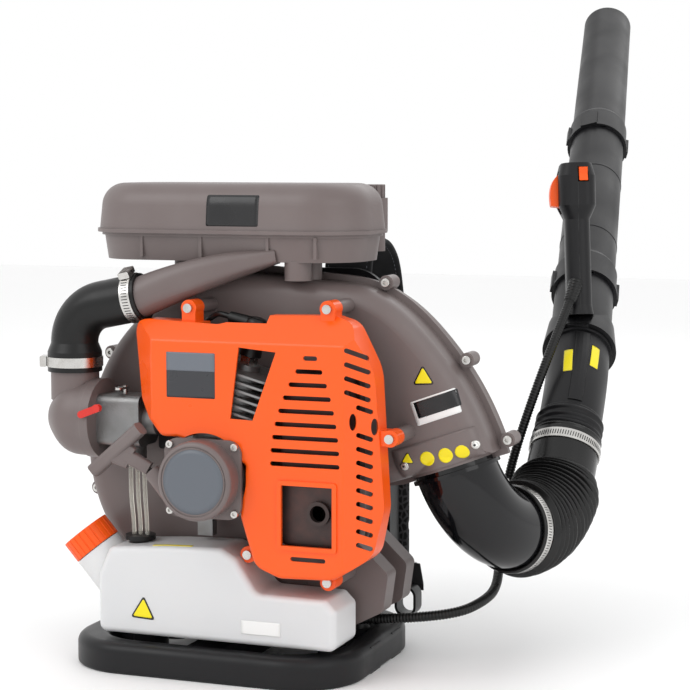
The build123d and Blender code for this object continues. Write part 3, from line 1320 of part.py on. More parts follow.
with BuildPart() as swivel_pipe:
    add(bent_bar(PIPE_BEND_START, HOSE_END_DIR, PIPE_DIR, PIPE_R, PIPE_BEND, SLEEVE_HIGH - SLEEVE_LOW - 1,
                 JOINT_1 + SOCKET_LONG - 3))
    add(straight_bar(on_pipe(20), PIPE_DIR, PIPE_R + 3, 4))
    with BuildSketch(axis_plane(on_pipe(JOINT_1 + PEG_IN), PIPE_DIR.cross(Vector(*PIPE_X)), PIPE_X)):
        Circle(PEG_R)
    extrude(amount=PIPE_R + 1.2, both=True)
    add(bent_bar(PIPE_BEND_START, HOSE_END_DIR, PIPE_DIR, PIPE_R - PIPE_T, PIPE_BEND,
                 SLEEVE_HIGH - SLEEVE_LOW, JOINT_1 + SOCKET_LONG), mode=Mode.SUBTRACT)
finish(swivel_pipe, "swivel_pipe")


def socket(distance):
    """Female end: thick collar with two moulded ribs, bored and grooved for the pegs."""
    with BuildPart() as collar:
        add(straight_bar(on_pipe(distance), PIPE_DIR, SOCKET_R, SOCKET_LONG))
        add(straight_bar(on_pipe(distance), PIPE_DIR, SOCKET_R + 1.6, 5))
        with BuildSketch(axis_plane(on_pipe(distance), PIPE_DIR, PIPE_X)):
            with PolarLocations(SOCKET_R, 2, start_angle=20):
                Rectangle(7, 11)
            with PolarLocations(SOCKET_R, 2, start_angle=80):
                Rectangle(5, 24)
        extrude(amount=34)
        add(straight_bar(on_pipe(distance + SOCKET_LONG), PIPE_DIR, SOCKET_R, 8, PIPE_R))
    return collar.part


def socket_bore(distance):
    """What a socket leaves empty: its bore, a peg groove and two entry slots."""
    groove_r = PIPE_R + 1.8
    with BuildPart() as bore:
        add(straight_bar(on_pipe(distance - 1), PIPE_DIR, PIPE_R + GAP, SOCKET_LONG))
        add(straight_bar(on_pipe(distance + PEG_IN - PEG_R - 0.6), PIPE_DIR, groove_r, 2 * PEG_R + 1.2))
        with BuildSketch(axis_plane(on_pipe(distance - 1), PIPE_DIR, PIPE_X)):
            with PolarLocations(groove_r / 2, 2, start_angle=90 + TWIST):
                Rectangle(groove_r, 2 * PEG_R + 1.2)
        extrude(amount=PEG_IN + 1)
    return bore.part


with BuildPart() as extension_pipe:
    add(socket(JOINT_1))
    add(straight_bar(on_pipe(JOINT_1 + SOCKET_LONG), PIPE_DIR, PIPE_R, JOINT_2 - JOINT_1 - 3))
    for lift in (0.30, 0.72):
        add(straight_bar(on_pipe(JOINT_1 + lift * (JOINT_2 - JOINT_1)), PIPE_DIR, PIPE_R + 0.5, 3))
    with BuildSketch(axis_plane(on_pipe(JOINT_2 + PEG_IN), PIPE_DIR.cross(Vector(*PIPE_X)), PIPE_X)):
        Circle(PEG_R)
    extrude(amount=PIPE_R + 1.2, both=True)
    add(socket_bore(JOINT_1), mode=Mode.SUBTRACT)
    add(straight_bar(on_pipe(JOINT_1 + 10), PIPE_DIR, PIPE_R - PIPE_T, JOINT_2 - JOINT_1 + 60),
        mode=Mode.SUBTRACT)
finish(extension_pipe, "extension_pipe")

with BuildPart() as nozzle:
    add(socket(JOINT_2))
    add(straight_bar(on_pipe(JOINT_2 + SOCKET_LONG), PIPE_DIR, PIPE_R,
                     TIP - TIP_LONG - JOINT_2 - SOCKET_LONG, TIP_R))
    add(straight_bar(on_pipe(TIP - TIP_LONG), PIPE_DIR, TIP_R, TIP_LONG))
    add(socket_bore(JOINT_2), mode=Mode.SUBTRACT)
    add(straight_bar(on_pipe(JOINT_2 + 10), PIPE_DIR, PIPE_R - PIPE_T,
                     TIP - TIP_LONG - JOINT_2 - 10, TIP_R - PIPE_T), mode=Mode.SUBTRACT)
    add(straight_bar(on_pipe(TIP - TIP_LONG), PIPE_DIR, TIP_R - PIPE_T, TIP_LONG + 5), mode=Mode.SUBTRACT)
finish(nozzle, "nozzle")

# ------------------------------------------------------------- control handle
HANDLE_AT = 45                 # clamp ring centre along the pipe
PIPE_UP = Vector(0.096, -0.510, 0.855).normalized()
HANDLE_UP = Vector(-0.07, 0.12, 0.99).normalized()
HANDLE_X = Vector(0.936, 0.352, 0)
HANDLE_FOOT = on_pipe(HANDLE_AT) + PIPE_UP * 44
GRIP = axis_plane(HANDLE_FOOT, HANDLE_UP, tuple(HANDLE_X))
HANDLE_LONG = 188
SECTIONS = ((0, 34, 42, 12), (12, 31, 38, 13), (118, 31, 38, 13), (135, 46, 52, 14),
            (172, 46, 58, 15), (HANDLE_LONG, 38, 48, 14))
TRIGGER_Z = (134, 176)
SWITCH_MID = (6.5, 173)

with BuildPart() as handle_clamp:
    add(straight_bar(on_pipe(27), PIPE_DIR, 46, 43, 42))
    with BuildSketch(axis_plane(on_pipe(HANDLE_AT), PIPE_UP, PIPE_X)):
        RectangleRounded(34, 42, 12)
    extrude(amount=43)
    with BuildSketch(axis_plane(on_pipe(HANDLE_AT), -PIPE_UP, PIPE_X)):
        Rectangle(16, 34)
    extrude(amount=56)
    split(bisect_by=GRIP.offset(-0.1), keep=Keep.BOTTOM)
    add(straight_bar(on_pipe(20), PIPE_DIR, PIPE_R + 0.05, 60), mode=Mode.SUBTRACT)
    add(straight_bar(on_pipe(20), PIPE_DIR, PIPE_R + 3.05, 4.3), mode=Mode.SUBTRACT)
finish(handle_clamp, "handle_clamp")


def grip_block():
    """Solid grip with its head, before it is split into two halves."""
    with BuildPart() as block:
        for (z_0, w_0, d_0, r_0), (z_1, w_1, d_1, r_1) in zip(SECTIONS, SECTIONS[1:]):
            with BuildSketch(GRIP.offset(z_0)):
                RectangleRounded(w_0, d_0, r_0)
            with BuildSketch(GRIP.offset(z_1)):
                RectangleRounded(w_1, d_1, r_1)
            loft()
    return block.part


def grip_box(x_from, x_to, y_from, y_to, z_from, z_to):
    """Box in the grip's own directions."""
    with BuildPart() as box:
        with BuildSketch(GRIP.offset(z_from)):
            with Locations(((x_from + x_to) / 2, (y_from + y_to) / 2)):
                Rectangle(x_to - x_from, y_to - y_from)
        extrude(amount=z_to - z_from)
    return box.part


for half_name, half_sign in (("handle_left", -1), ("handle_right", 1)):
    with BuildPart() as half:
        add(grip_block())
        seam = Plane(origin=tuple(HANDLE_FOOT + GRIP.x_dir * 0.05 * half_sign),
                     z_dir=tuple(GRIP.x_dir * half_sign))
        split(bisect_by=seam, keep=Keep.TOP)
        add(straight_bar(on_pipe(-20), PIPE_DIR, PIPE_R + GAP, 140), mode=Mode.SUBTRACT)
        if half_sign < 0:
            add(grip_box(-40, -1, -8.4, 8.4, TRIGGER_Z[0] - 8, TRIGGER_Z[1] + 3.5), mode=Mode.SUBTRACT)
        else:
            add(grip_box(0, 13, -40, -13, SWITCH_MID[1] - 9.6, SWITCH_MID[1] + 9.6), mode=Mode.SUBTRACT)
    finish(half, half_name)

with BuildPart() as throttle_trigger:
    with BuildSketch(Plane(origin=GRIP.from_local_coords((0, -7.6, 0)), x_dir=tuple(GRIP.x_dir),
                           z_dir=tuple(-GRIP.y_dir))):
        with BuildLine():
            Spline((-32, TRIGGER_Z[0] + 2), (-33, 148), (-31, 162), (-22, TRIGGER_Z[1] - 1))
            Polyline((-22, TRIGGER_Z[1] - 1), (-13, TRIGGER_Z[1] - 2), (-12, 165), (-19, TRIGGER_Z[0]),
                     (-32, TRIGGER_Z[0] + 2))
        make_face()
    extrude(amount=-15.2)
finish(throttle_trigger, "throttle_trigger")

with BuildPart() as stop_switch:
    with BuildSketch(Plane(origin=GRIP.from_local_coords((SWITCH_MID[0] - 5.2, 0, 0)),
                           x_dir=tuple(GRIP.y_dir), z_dir=tuple(GRIP.x_dir))):
        with BuildLine():
            Polyline((-31.5, SWITCH_MID[1] - 8.2), (-29.5, SWITCH_MID[1]), (-31.5, SWITCH_MID[1] + 8.2),
                     (-21, SWITCH_MID[1] + 8.2), (-21, SWITCH_MID[1] - 8.2), close=True)
        make_face()
    extrude(amount=10.4)
finish(stop_switch, "stop_switch")

# ------------------------------------------------- control loom and fittings
LOOM_R = 5.8
LOOM_ROUTE = ((303, 298, 396), (285, 238, 314), (265, 210, 238), (250, 203, 178), (250, 184, 125),
              (258, 146, 91), (270, 92, 72), (269, 44, 67), (250, 4, 60), (182, -12, 52), (126, -12, 47))
finish(tube_along(LOOM_ROUTE, LOOM_R), "control_loom")

with BuildPart() as strap_fittings:
    for x in (-BACK_FOOT_X, BACK_FOOT_X):
        with BuildSketch(axis_plane((x, 133, 84), (0, 0.755, 0.656))):
            RectangleRounded(STRAP_W + 14, STRAP_T + 9, 4)
            RectangleRounded(STRAP_W + 0.6, STRAP_T + 0.6, 0.2, mode=Mode.SUBTRACT)
        extrude(amount=8, both=True)
    with BuildSketch(front(PAD_Y - 2)):
        with Locations((165, 52)):
            RectangleRounded(26, 36, 12)
            RectangleRounded(20, 30, 9, mode=Mode.SUBTRACT)
    extrude(amount=22)
finish(strap_fittings, "strap_fittings")
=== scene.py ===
import json
from math import atan2, cos, pi, radians, sin, sqrt, tan

import bmesh
import bpy
from mathutils import Matrix, Vector
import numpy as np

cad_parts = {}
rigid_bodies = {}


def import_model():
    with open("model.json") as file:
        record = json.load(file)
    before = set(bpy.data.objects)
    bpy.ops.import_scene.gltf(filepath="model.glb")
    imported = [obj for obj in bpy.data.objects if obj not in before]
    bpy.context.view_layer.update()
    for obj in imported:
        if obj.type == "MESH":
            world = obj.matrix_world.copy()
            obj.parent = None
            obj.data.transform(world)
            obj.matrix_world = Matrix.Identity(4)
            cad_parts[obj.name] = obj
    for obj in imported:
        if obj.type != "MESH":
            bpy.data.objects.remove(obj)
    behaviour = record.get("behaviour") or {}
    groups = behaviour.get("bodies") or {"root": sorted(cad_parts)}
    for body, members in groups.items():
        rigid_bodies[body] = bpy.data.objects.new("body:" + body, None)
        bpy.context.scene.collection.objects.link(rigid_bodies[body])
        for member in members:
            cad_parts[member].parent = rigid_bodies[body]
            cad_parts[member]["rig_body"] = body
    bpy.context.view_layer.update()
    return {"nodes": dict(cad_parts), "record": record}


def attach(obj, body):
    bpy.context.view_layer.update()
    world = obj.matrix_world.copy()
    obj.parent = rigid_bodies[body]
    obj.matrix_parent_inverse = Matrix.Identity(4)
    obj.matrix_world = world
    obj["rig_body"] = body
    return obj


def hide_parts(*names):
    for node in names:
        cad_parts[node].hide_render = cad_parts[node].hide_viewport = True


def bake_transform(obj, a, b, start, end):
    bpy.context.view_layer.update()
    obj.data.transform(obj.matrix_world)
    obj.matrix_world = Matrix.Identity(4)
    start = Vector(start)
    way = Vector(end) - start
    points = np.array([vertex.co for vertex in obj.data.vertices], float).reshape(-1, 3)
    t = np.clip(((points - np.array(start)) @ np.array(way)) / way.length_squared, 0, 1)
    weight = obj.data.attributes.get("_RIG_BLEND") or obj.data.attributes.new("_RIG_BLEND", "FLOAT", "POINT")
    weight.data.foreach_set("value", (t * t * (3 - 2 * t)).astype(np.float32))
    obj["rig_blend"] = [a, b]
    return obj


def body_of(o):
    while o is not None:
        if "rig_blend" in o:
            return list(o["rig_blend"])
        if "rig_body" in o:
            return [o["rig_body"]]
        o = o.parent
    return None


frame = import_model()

NODES = frame["nodes"]
MM = 0.001
FRONT, UP, ACROSS = Vector((0, -1, 0)), Vector((0, 0, 1)), Vector((1, 0, 0))


# ------------------------------------------------------------- materials
class Shader:
    """Small helper that builds a node material around one Principled shader."""

    def __init__(self, name, color, rough, metal=0.0, coat=0.0, coat_rough=0.08, specular=0.5):
        self.mat = bpy.data.materials.new(name)
        self.mat.use_nodes = True
        self.tree = self.mat.node_tree
        self.bsdf = self.tree.nodes["Principled BSDF"]
        self.color = (*color, 1.0)
        self.coord = self.add("ShaderNodeTexCoord").outputs["Object"]
        self.bump = None
        self.set("Base Color", self.color)
        self.set("Roughness", rough)
        self.set("Metallic", metal)
        self.set("Coat Weight", coat)
        self.set("Coat Roughness", coat_rough)
        self.set("Specular IOR Level", specular)
        self.rough = rough

    def add(self, kind, **values):
        node = self.tree.nodes.new(kind)
        for key, value in values.items():
            setattr(node, key, value)
        return node

    def link(self, a, b):
        self.tree.links.new(a, b)

    def set(self, key, value):
        self.bsdf.inputs[key].default_value = value

    def noise(self, scale, detail):
        tex = self.add("ShaderNodeTexNoise")
        tex.inputs["Scale"].default_value = scale
        tex.inputs["Detail"].default_value = detail
        self.link(self.coord, tex.inputs["Vector"])
        return tex.outputs["Fac"]

    def ramp(self, source, low, high, out_low=0.0, out_high=1.0):
        node = self.add("ShaderNodeMapRange")
        limits = {"From Min": low, "From Max": high, "To Min": out_low, "To Max": out_high}
        for key, value in limits.items():
            node.inputs[key].default_value = value
        self.link(source, node.inputs["Value"])
        return node.outputs["Result"]

    def relief(self, height, strength, distance=0.0004):
        node = self.add("ShaderNodeBump")
        node.inputs["Strength"].default_value = strength
        node.inputs["Distance"].default_value = distance
        self.link(height, node.inputs["Height"])
        if self.bump:
            self.link(self.bump, node.inputs["Normal"])
        self.bump = node.outputs["Normal"]
        self.link(self.bump, self.bsdf.inputs["Normal"])
        return self

    def grain(self, scale=900.0, strength=0.15, distance=0.0003, detail=2.0):
        return self.relief(self.noise(scale, detail), strength, distance)

    def uneven(self, scale=14.0, amount=0.10):
        """Roughness that varies slowly, as on handled plastic."""
        varied = self.ramp(self.noise(scale, 4.0), 0.3, 0.7, self.rough - amount, self.rough + amount)
        self.link(varied, self.bsdf.inputs["Roughness"])
        return self

    def mix_in(self, other, factor):
        """Adds another colour over whatever the base colour is so far."""
        mix = self.add("ShaderNodeMix", data_type="RGBA")
        self.link(factor, mix.inputs["Factor"])
        mix.inputs["A"].default_value = self.color
        mix.inputs["B"].default_value = (*other, 1.0)
        source = self.bsdf.inputs["Base Color"]
        if source.links:
            self.link(source.links[0].from_socket, mix.inputs["A"])
        self.link(mix.outputs["Result"], source)
        return self

    def tint(self, other, scale=9.0, low=0.45, high=0.75, most=0.5):
        """Blends towards another colour in soft patches."""
        return self.mix_in(other, self.ramp(self.noise(scale, 5.0), low, high, 0.0, most))

    def edges(self, other, radius=0.0012, low=0.02, high=0.12, most=0.7):
        """Lighter, rubbed colour along sharp edges."""
        bevel = self.add("ShaderNodeBevel", samples=4)
        bevel.inputs["Radius"].default_value = radius
        geo = self.add("ShaderNodeNewGeometry")
        dot = self.add("ShaderNodeVectorMath", operation="DOT_PRODUCT")
        self.link(bevel.outputs["Normal"], dot.inputs[0])
        self.link(geo.outputs["Normal"], dot.inputs[1])
        worn = self.ramp(dot.outputs["Value"], 1.0 - low, 1.0 - high, 0.0, most)
        broken = self.add("ShaderNodeMath", operation="MULTIPLY")
        self.link(worn, broken.inputs[0])
        self.link(self.ramp(self.noise(60.0, 4.0), 0.42, 0.6), broken.inputs[1])
        return self.mix_in(other, broken.outputs["Value"])


def woven(shader, scale, strength=0.6, distance=0.0005):
    """Crossed ribs of a plain weave."""
    waves = []
    for direction in ("X", "Z"):
        tex = shader.add("ShaderNodeTexWave", wave_type="BANDS", bands_direction=direction)
        tex.inputs["Scale"].default_value = scale
        tex.inputs["Distortion"].default_value = 0.4
        shader.link(shader.coord, tex.inputs["Vector"])
        waves.append(tex.outputs["Fac"])
    product = shader.add("ShaderNodeMath", operation="MULTIPLY")
    shader.link(waves[0], product.inputs[0])
    shader.link(waves[1], product.inputs[1])
    shader.relief(product.outputs["Value"], strength, distance)
    return shader


HOLE_SQUEEZE = 0.55                # a net hole's width over its height


def netted(shader, scale, thread):
    """Open mesh: raised threads round dark, taller-than-wide holes in the XZ plane."""
    split = shader.add("ShaderNodeSeparateXYZ")
    join = shader.add("ShaderNodeCombineXYZ")
    squeeze = shader.add("ShaderNodeMath", operation="MULTIPLY")
    squeeze.inputs[1].default_value = HOLE_SQUEEZE
    shader.link(shader.coord, split.inputs["Vector"])
    shader.link(split.outputs["X"], join.inputs["X"])
    shader.link(split.outputs["Z"], squeeze.inputs[0])
    shader.link(squeeze.outputs["Value"], join.inputs["Y"])
    cells = shader.add("ShaderNodeTexVoronoi", voronoi_dimensions="2D", feature="DISTANCE_TO_EDGE")
    cells.inputs["Scale"].default_value = scale
    cells.inputs["Randomness"].default_value = 0.6
    shader.link(join.outputs["Vector"], cells.inputs["Vector"])
    line = shader.ramp(cells.outputs["Distance"], 0.10, 0.20, 1.0, 0.0)
    return shader.mix_in(thread, line).relief(line, 1.0, 0.0008)


GRAY = (0.138, 0.108, 0.104)
ORANGE = (0.90, 0.098, 0.004)
SHADERS = {
    "gray_plastic": Shader("moulded_gray", GRAY, 0.42).grain(1400, 0.10).uneven(11, 0.06)
    .tint((0.19, 0.165, 0.16), 7.0).edges((0.25, 0.225, 0.215), most=0.35),
    "orange_gloss": Shader("gloss_orange", ORANGE, 0.30, coat=0.12, coat_rough=0.06, specular=0.35)
    .grain(260, 0.03).uneven(9, 0.04).tint((0.85, 0.10, 0.012), 6.0),
    "orange_plastic": Shader("satin_orange", ORANGE, 0.40, specular=0.35).grain(1300, 0.08).uneven(20, 0.05),
    "black_plastic": Shader("moulded_black", (0.008, 0.008, 0.009), 0.40, specular=0.28)
    .grain(1500, 0.14).uneven(16, 0.08).edges((0.07, 0.07, 0.07), most=0.5),
    "gloss_black": Shader("gloss_black", (0.004, 0.004, 0.005), 0.10, coat=0.1, specular=0.35)
    .grain(90, 0.015).uneven(12, 0.04),
    "rubber_black": Shader("rubber", (0.006, 0.006, 0.006), 0.34, specular=0.32)
    .grain(1100, 0.2).uneven(30, 0.1),
    "steel": Shader("zinc_steel", (0.60, 0.59, 0.57), 0.27, metal=1.0).grain(1200, 0.08).uneven(120, 0.1)
    .tint((0.40, 0.38, 0.35), 90.0),
    # black paint on steel; the outlet screws also use this material for the painted shade in their drive
    # recesses
    "black_steel": Shader("black_paint_and_recess_shade", (0.02, 0.02, 0.021), 0.33, coat=0.2).grain(700, 0.1).uneven(12, 0.08),
    "cast_aluminium": Shader("cast_aluminium", (0.27, 0.27, 0.27), 0.5, metal=1.0).grain(520, 0.6, 0.0006, 5.0)
    .uneven(40, 0.1).tint((0.20, 0.19, 0.18), 45.0),
    "muffler_steel": Shader("muffler_paint", (0.055, 0.040, 0.038), 0.42, metal=0.6).grain(700, 0.3)
    .tint((0.13, 0.06, 0.05), 40.0),
    "red_plastic": Shader("red_plastic", (0.60, 0.02, 0.012), 0.3).grain(900, 0.06).uneven(30, 0.05),
    "starter_gray": Shader("starter_gray", (0.105, 0.118, 0.138), 0.38).grain(1200, 0.15).uneven(25, 0.06)
    .edges((0.16, 0.17, 0.18), most=0.5),
    "fan_white": Shader("fan_gray", (0.45, 0.45, 0.44), 0.45).grain(900, 0.1).uneven(25, 0.06),
    "filter_paper": Shader("filter_paper", (0.62, 0.52, 0.34), 0.8).grain(500, 0.4).uneven(30, 0.05),
}


def tank_shader():
    s = Shader("tank_white", (0.70, 0.70, 0.70), 0.34).grain(420, 0.07).uneven(10, 0.05)
    s.set("Subsurface Weight", 0.35)
    s.set("Subsurface Radius", (1.0, 0.95, 0.85))
    s.set("Subsurface Scale", 0.012)
    return s.tint((0.63, 0.64, 0.65), 6.0)


def clear_shader():
    s = Shader("clear_line", (0.90, 0.88, 0.80), 0.12).grain(300, 0.05)
    s.set("Transmission Weight", 0.75)
    s.set("IOR", 1.4)
    return s


SHADERS["tank_white"] = tank_shader()
SHADERS["clear_line"] = clear_shader()
SHADERS["webbing"] = woven(Shader("webbing", (0.014, 0.014, 0.015), 0.75, specular=0.3), 260, 0.9)
SHADERS["webbing"].grain(1500, 0.3)
SHADERS["pad_mesh"] = netted(Shader("pad_mesh", (0.004, 0.004, 0.004), 0.85, specular=0.25), 210,
                             (0.045, 0.045, 0.047)).grain(1500, 0.3)

slot_of = {s["node"]: s["material_slot"] for s in frame["record"]["subparts"]}
for node_name, obj in NODES.items():
    obj.data.materials.clear()
    obj.data.materials.append(SHADERS[slot_of[node_name]].mat)


def paint(obj, slot_name, shader=None):
    obj.data.materials.clear()
    obj.data.materials.append((shader or SHADERS[slot_name]).mat)


# ------------------------------------------------------------ mesh helpers
def mesh_object(name, verts, faces, smooth=True):
    mesh = bpy.data.meshes.new(name)
    mesh.from_pydata([tuple(v) for v in verts], [], faces)
    mesh.validate()
    if smooth:
        for p in mesh.polygons:
            p.use_smooth = True
    obj = bpy.data.objects.new(name, mesh)
    bpy.context.scene.collection.objects.link(obj)
    bm = bmesh.new()
    bm.from_mesh(mesh)
    bmesh.ops.recalc_face_normals(bm, faces=bm.faces)
    bm.to_mesh(mesh)
    bm.free()
    return obj


def loop_faces(rings, around, closed):
    """Quads between successive rings of verts; closed joins the last ring to the first."""
    faces = []
    for i in range(rings if closed else rings - 1):
        a, b = i * around, ((i + 1) % rings) * around
        for j in range(around):
            k = (j + 1) % around
            faces.append((a + j, a + k, b + k, b + j))
    return faces


def side_axes(direction, hint):
    """Two directions square to a line, the first as near the hint as it goes."""
    direction = Vector(direction).normalized()
    x = (Vector(hint) - direction * Vector(hint).dot(direction)).normalized()
    return x, direction.cross(x)


def arc_points(start, d_in, d_out, radius, count):
    """Points and directions round one bend, start and end included."""
    d_in, d_out = Vector(d_in).normalized(), Vector(d_out).normalized()
    axis = d_in.cross(d_out).normalized()
    centre = Vector(start) + axis.cross(d_in) * radius
    angle = d_in.angle(d_out)
    found = []
    for i in range(count + 1):
        spin = Matrix.Rotation(angle * i / count, 3, axis)
        found.append((centre + spin @ (Vector(start) - centre), spin @ d_in))
    return found


def straight_line(a, b, count):
    """Points and directions along a straight run, both ends included."""
    direction = (b - a).normalized()
    return [(a + (b - a) * (i / count), direction) for i in range(count + 1)]


def cord_curve(name, route):
    """A smooth line with the route's points, in millimetres, as its control points."""
    curve = bpy.data.curves.new(name, "CURVE")
    curve.dimensions = "3D"
    curve.resolution_u = 24
    spline = curve.splines.new("NURBS")
    spline.points.add(len(route) - 1)
    for point, place in zip(spline.points, route):
        point.co = (*(Vector(place) * MM), 1.0)
    spline.order_u = 3
    spline.use_endpoint_u = True
    obj = bpy.data.objects.new(name, curve)
    bpy.context.scene.collection.objects.link(obj)
    return obj


def even_line(points, step):
    """Points and directions at even steps along a read-out spline."""
    lengths = [0.0]
    for a, b in zip(points, points[1:]):
        lengths.append(lengths[-1] + (b - a).length)
    count = max(2, int(lengths[-1] / step))
    line, i = [], 0
    for k in range(count + 1):
        s = lengths[-1] * k / count
        while i < len(points) - 2 and lengths[i + 1] < s:
            i += 1
        run = points[i + 1] - points[i]
        line.append((points[i] + run * ((s - lengths[i]) / run.length), run.normalized()))
    return line


def spline_line(curve_obj, step):
    """Reads a curve's own smooth line as evenly spaced points and directions, and removes the curve."""
    mesh = bpy.data.meshes.new_from_object(curve_obj)
    points = [v.co.copy() for v in mesh.vertices]
    bpy.data.objects.remove(curve_obj)
    return even_line(points, step)


def tube(name, line, radius_at, around=32, hint=(1, 0, 0), wall=None):
    """Swept round skin. radius_at(distance) is its outer radius; wall makes it hollow."""
    verts, travelled, last = [], 0.0, line[0][0]
    x = side_axes(line[0][1], hint)[0]
    spans = []
    for point, direction in line:
        travelled += (point - last).length
        last = point
        x, y = side_axes(direction, x)
        spans.append((point, x, y, radius_at(travelled)))
    rings = list(spans)
    if wall:
        rings += [(p, a, b, r - wall(r)) for p, a, b, r in reversed(spans)]
    for p, a, b, r in rings:
        for j in range(around):
            t = 2 * pi * j / around
            verts.append(p + (a * cos(t) + b * sin(t)) * r)
    faces = loop_faces(len(rings), around, bool(wall))
    if not wall:
        faces += [tuple(range(around)), tuple(range(len(verts) - around, len(verts)))]
    return mesh_object(name, verts, faces)


# ------------------------------------------------------------ the air path
OUTLET = Vector((251, -12, 233)) * MM
OUTLET_DIR = Vector((0.326, 0, -0.946)).normalized()
ELBOW_DIR = Vector((0.26, 0.95, -0.14)).normalized()
HOSE_DIR = Vector((0, 0.64, 0.77)).normalized()
PIPE_DIR = Vector((-0.1584, 0.8398, 0.5193)).normalized()
ELBOW_BEND, HOSE_BEND, PIPE_BEND = 0.097, 0.130, 0.340      # radii of the three bends
ELBOW_RUN, SLEEVE_RUN = 0.010, 0.048                        # straight runs after the first two


def bend_end(point, d_in, d_out, radius):
    """Where a bend that starts at the point ends."""
    return point + (d_in + d_out) * (radius * tan(d_in.angle(d_out) / 2))


HOSE_START = bend_end(OUTLET, OUTLET_DIR, ELBOW_DIR, ELBOW_BEND) + ELBOW_DIR * ELBOW_RUN
HOSE_END = bend_end(HOSE_START, ELBOW_DIR, HOSE_DIR, HOSE_BEND)
PIPE_BEND_START = HOSE_END + HOSE_DIR * SLEEVE_RUN
PIPE_START = bend_end(PIPE_BEND_START, HOSE_DIR, PIPE_DIR, PIPE_BEND)


def on_pipe(mm):
    """Place on the straight pipe's axis."""
    return PIPE_START + PIPE_DIR * (mm * MM)


HOSE_SHADER = Shader("ribbed_rubber", (0.006, 0.006, 0.006), 0.24, specular=0.42)
HOSE_SHADER.grain(900, 0.08).uneven(30, 0.06)
CUFF, SLEEVE = 0.020, 0.052                                 # lengths of the two plain ends
CUFF_RADIUS, SLEEVE_RADIUS, CREST_RADIUS = 0.0490, 0.0412, 0.0558
FOLD_DEPTH = 0.0092
RIBS = 14


def build_hose():
    """Ribbed hose between two plain cuffs; its folds get smaller towards the pipe."""
    arc_length = HOSE_BEND * ELBOW_DIR.angle(HOSE_DIR)
    bellows_end = CUFF + arc_length - 0.004
    pitch = (bellows_end - CUFF) / RIBS
    total = bellows_end + SLEEVE
    line = straight_line(HOSE_START - ELBOW_DIR * CUFF, HOSE_START, 24)
    line += arc_points(HOSE_START, ELBOW_DIR, HOSE_DIR, HOSE_BEND, 210)[1:]
    line += straight_line(HOSE_END, PIPE_BEND_START, 60)[1:]

    def radius(s):
        if s < CUFF:
            lip = 0.0014 * max(0.0, 1 - abs(s - 0.0025) / 0.0025)
            return CUFF_RADIUS + lip
        if s > bellows_end:
            lip = 0.0012 * max(0.0, 1 - abs(s - total + 0.002) / 0.002)
            return SLEEVE_RADIUS + lip
        t = (s - CUFF) / (bellows_end - CUFF)
        crest = CREST_RADIUS - 0.0034 * t - 0.0085 * max(0.0, t - 0.84) / 0.16
        fold = abs(((s - CUFF) / pitch) % 1.0 - 0.5) * 2
        return crest - FOLD_DEPTH * fold ** 1.2 * (1 - 0.30 * t) * (1 - 0.75 * max(0.0, t - 0.9) / 0.1)

    def wall(r):
        return max(0.0014, r - 0.0455) if r > 0.0469 else 0.0026

    hose = tube("ribbed_hose", line, radius, 72, wall=wall)
    paint(hose, "rubber_black", HOSE_SHADER)
    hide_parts("flexible_hose")
    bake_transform(hose, "machine", "air_pipe", start=tuple(HOSE_START), end=tuple(HOSE_END))


build_hose()

# ------------------------------------------------------------ control loom
LOOM_ROUTE = ((304, 319, 412), (303, 304, 398), (285, 238, 314), (265, 210, 238), (250, 203, 178),
              (250, 184, 125), (258, 146, 91), (270, 92, 72), (269, 44, 67), (250, 4, 60), (182, -12, 52),
              (126, -12, 47))
LOOM_PITCH, LOOM_GROOVE = 0.0036, 0.0009                    # corrugations: spacing and depth
BOOT_POINTS = 34                                            # steps of the loom's line under its boot


def build_loom():
    """Corrugated sleeve from inside the handle to the machine, with a boot at the handle."""
    line = spline_line(cord_curve("loom_line", LOOM_ROUTE), 0.0009)

    def radius(s):
        return 0.0058 - LOOM_GROOVE * (0.5 + 0.5 * cos(2 * pi * s / LOOM_PITCH)) ** 2

    def boot_radius(s):
        return 0.0092 - 0.075 * s + 0.0006 * sin(2 * pi * s / 0.0042)

    loom = tube("split_loom", line, radius, 14)
    paint(loom, "rubber_black")
    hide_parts("control_loom")
    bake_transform(loom, "machine", "air_pipe", start=(0.262, 0.120, 0.080), end=(0.290, 0.250, 0.330))
    boot = tube("loom_boot", line[:BOOT_POINTS], boot_radius, 24)
    paint(boot, "rubber_black")
    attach(boot, "air_pipe")


build_loom()


# ------------------------------------------------------- labels and patches
def film_shader(name, color, rough):
    return Shader(name, color, rough).grain(700, 0.05).uneven(40, 0.06)


LABELS = {
    "yellow": film_shader("label_yellow", (0.86, 0.72, 0.0), 0.35),
    "black": film_shader("label_black", (0.008, 0.008, 0.009), 0.28),
    "white": film_shader("label_white", (0.80, 0.80, 0.79), 0.35),
    "slate": film_shader("label_slate", (0.030, 0.031, 0.036), 0.3),
    "blue_gray": film_shader("label_blue_gray", (0.13, 0.145, 0.17), 0.35),
}
FILM_EDGE = 3                      # longest edge of a film's outline, in millimetres
FILM_LEVELS = 6                    # rings of faces from a film's middle to its outline
PROBE_HEIGHT, PROBE_REACH = 0.012, 0.03
OUTLET_UP = -OUTLET_DIR


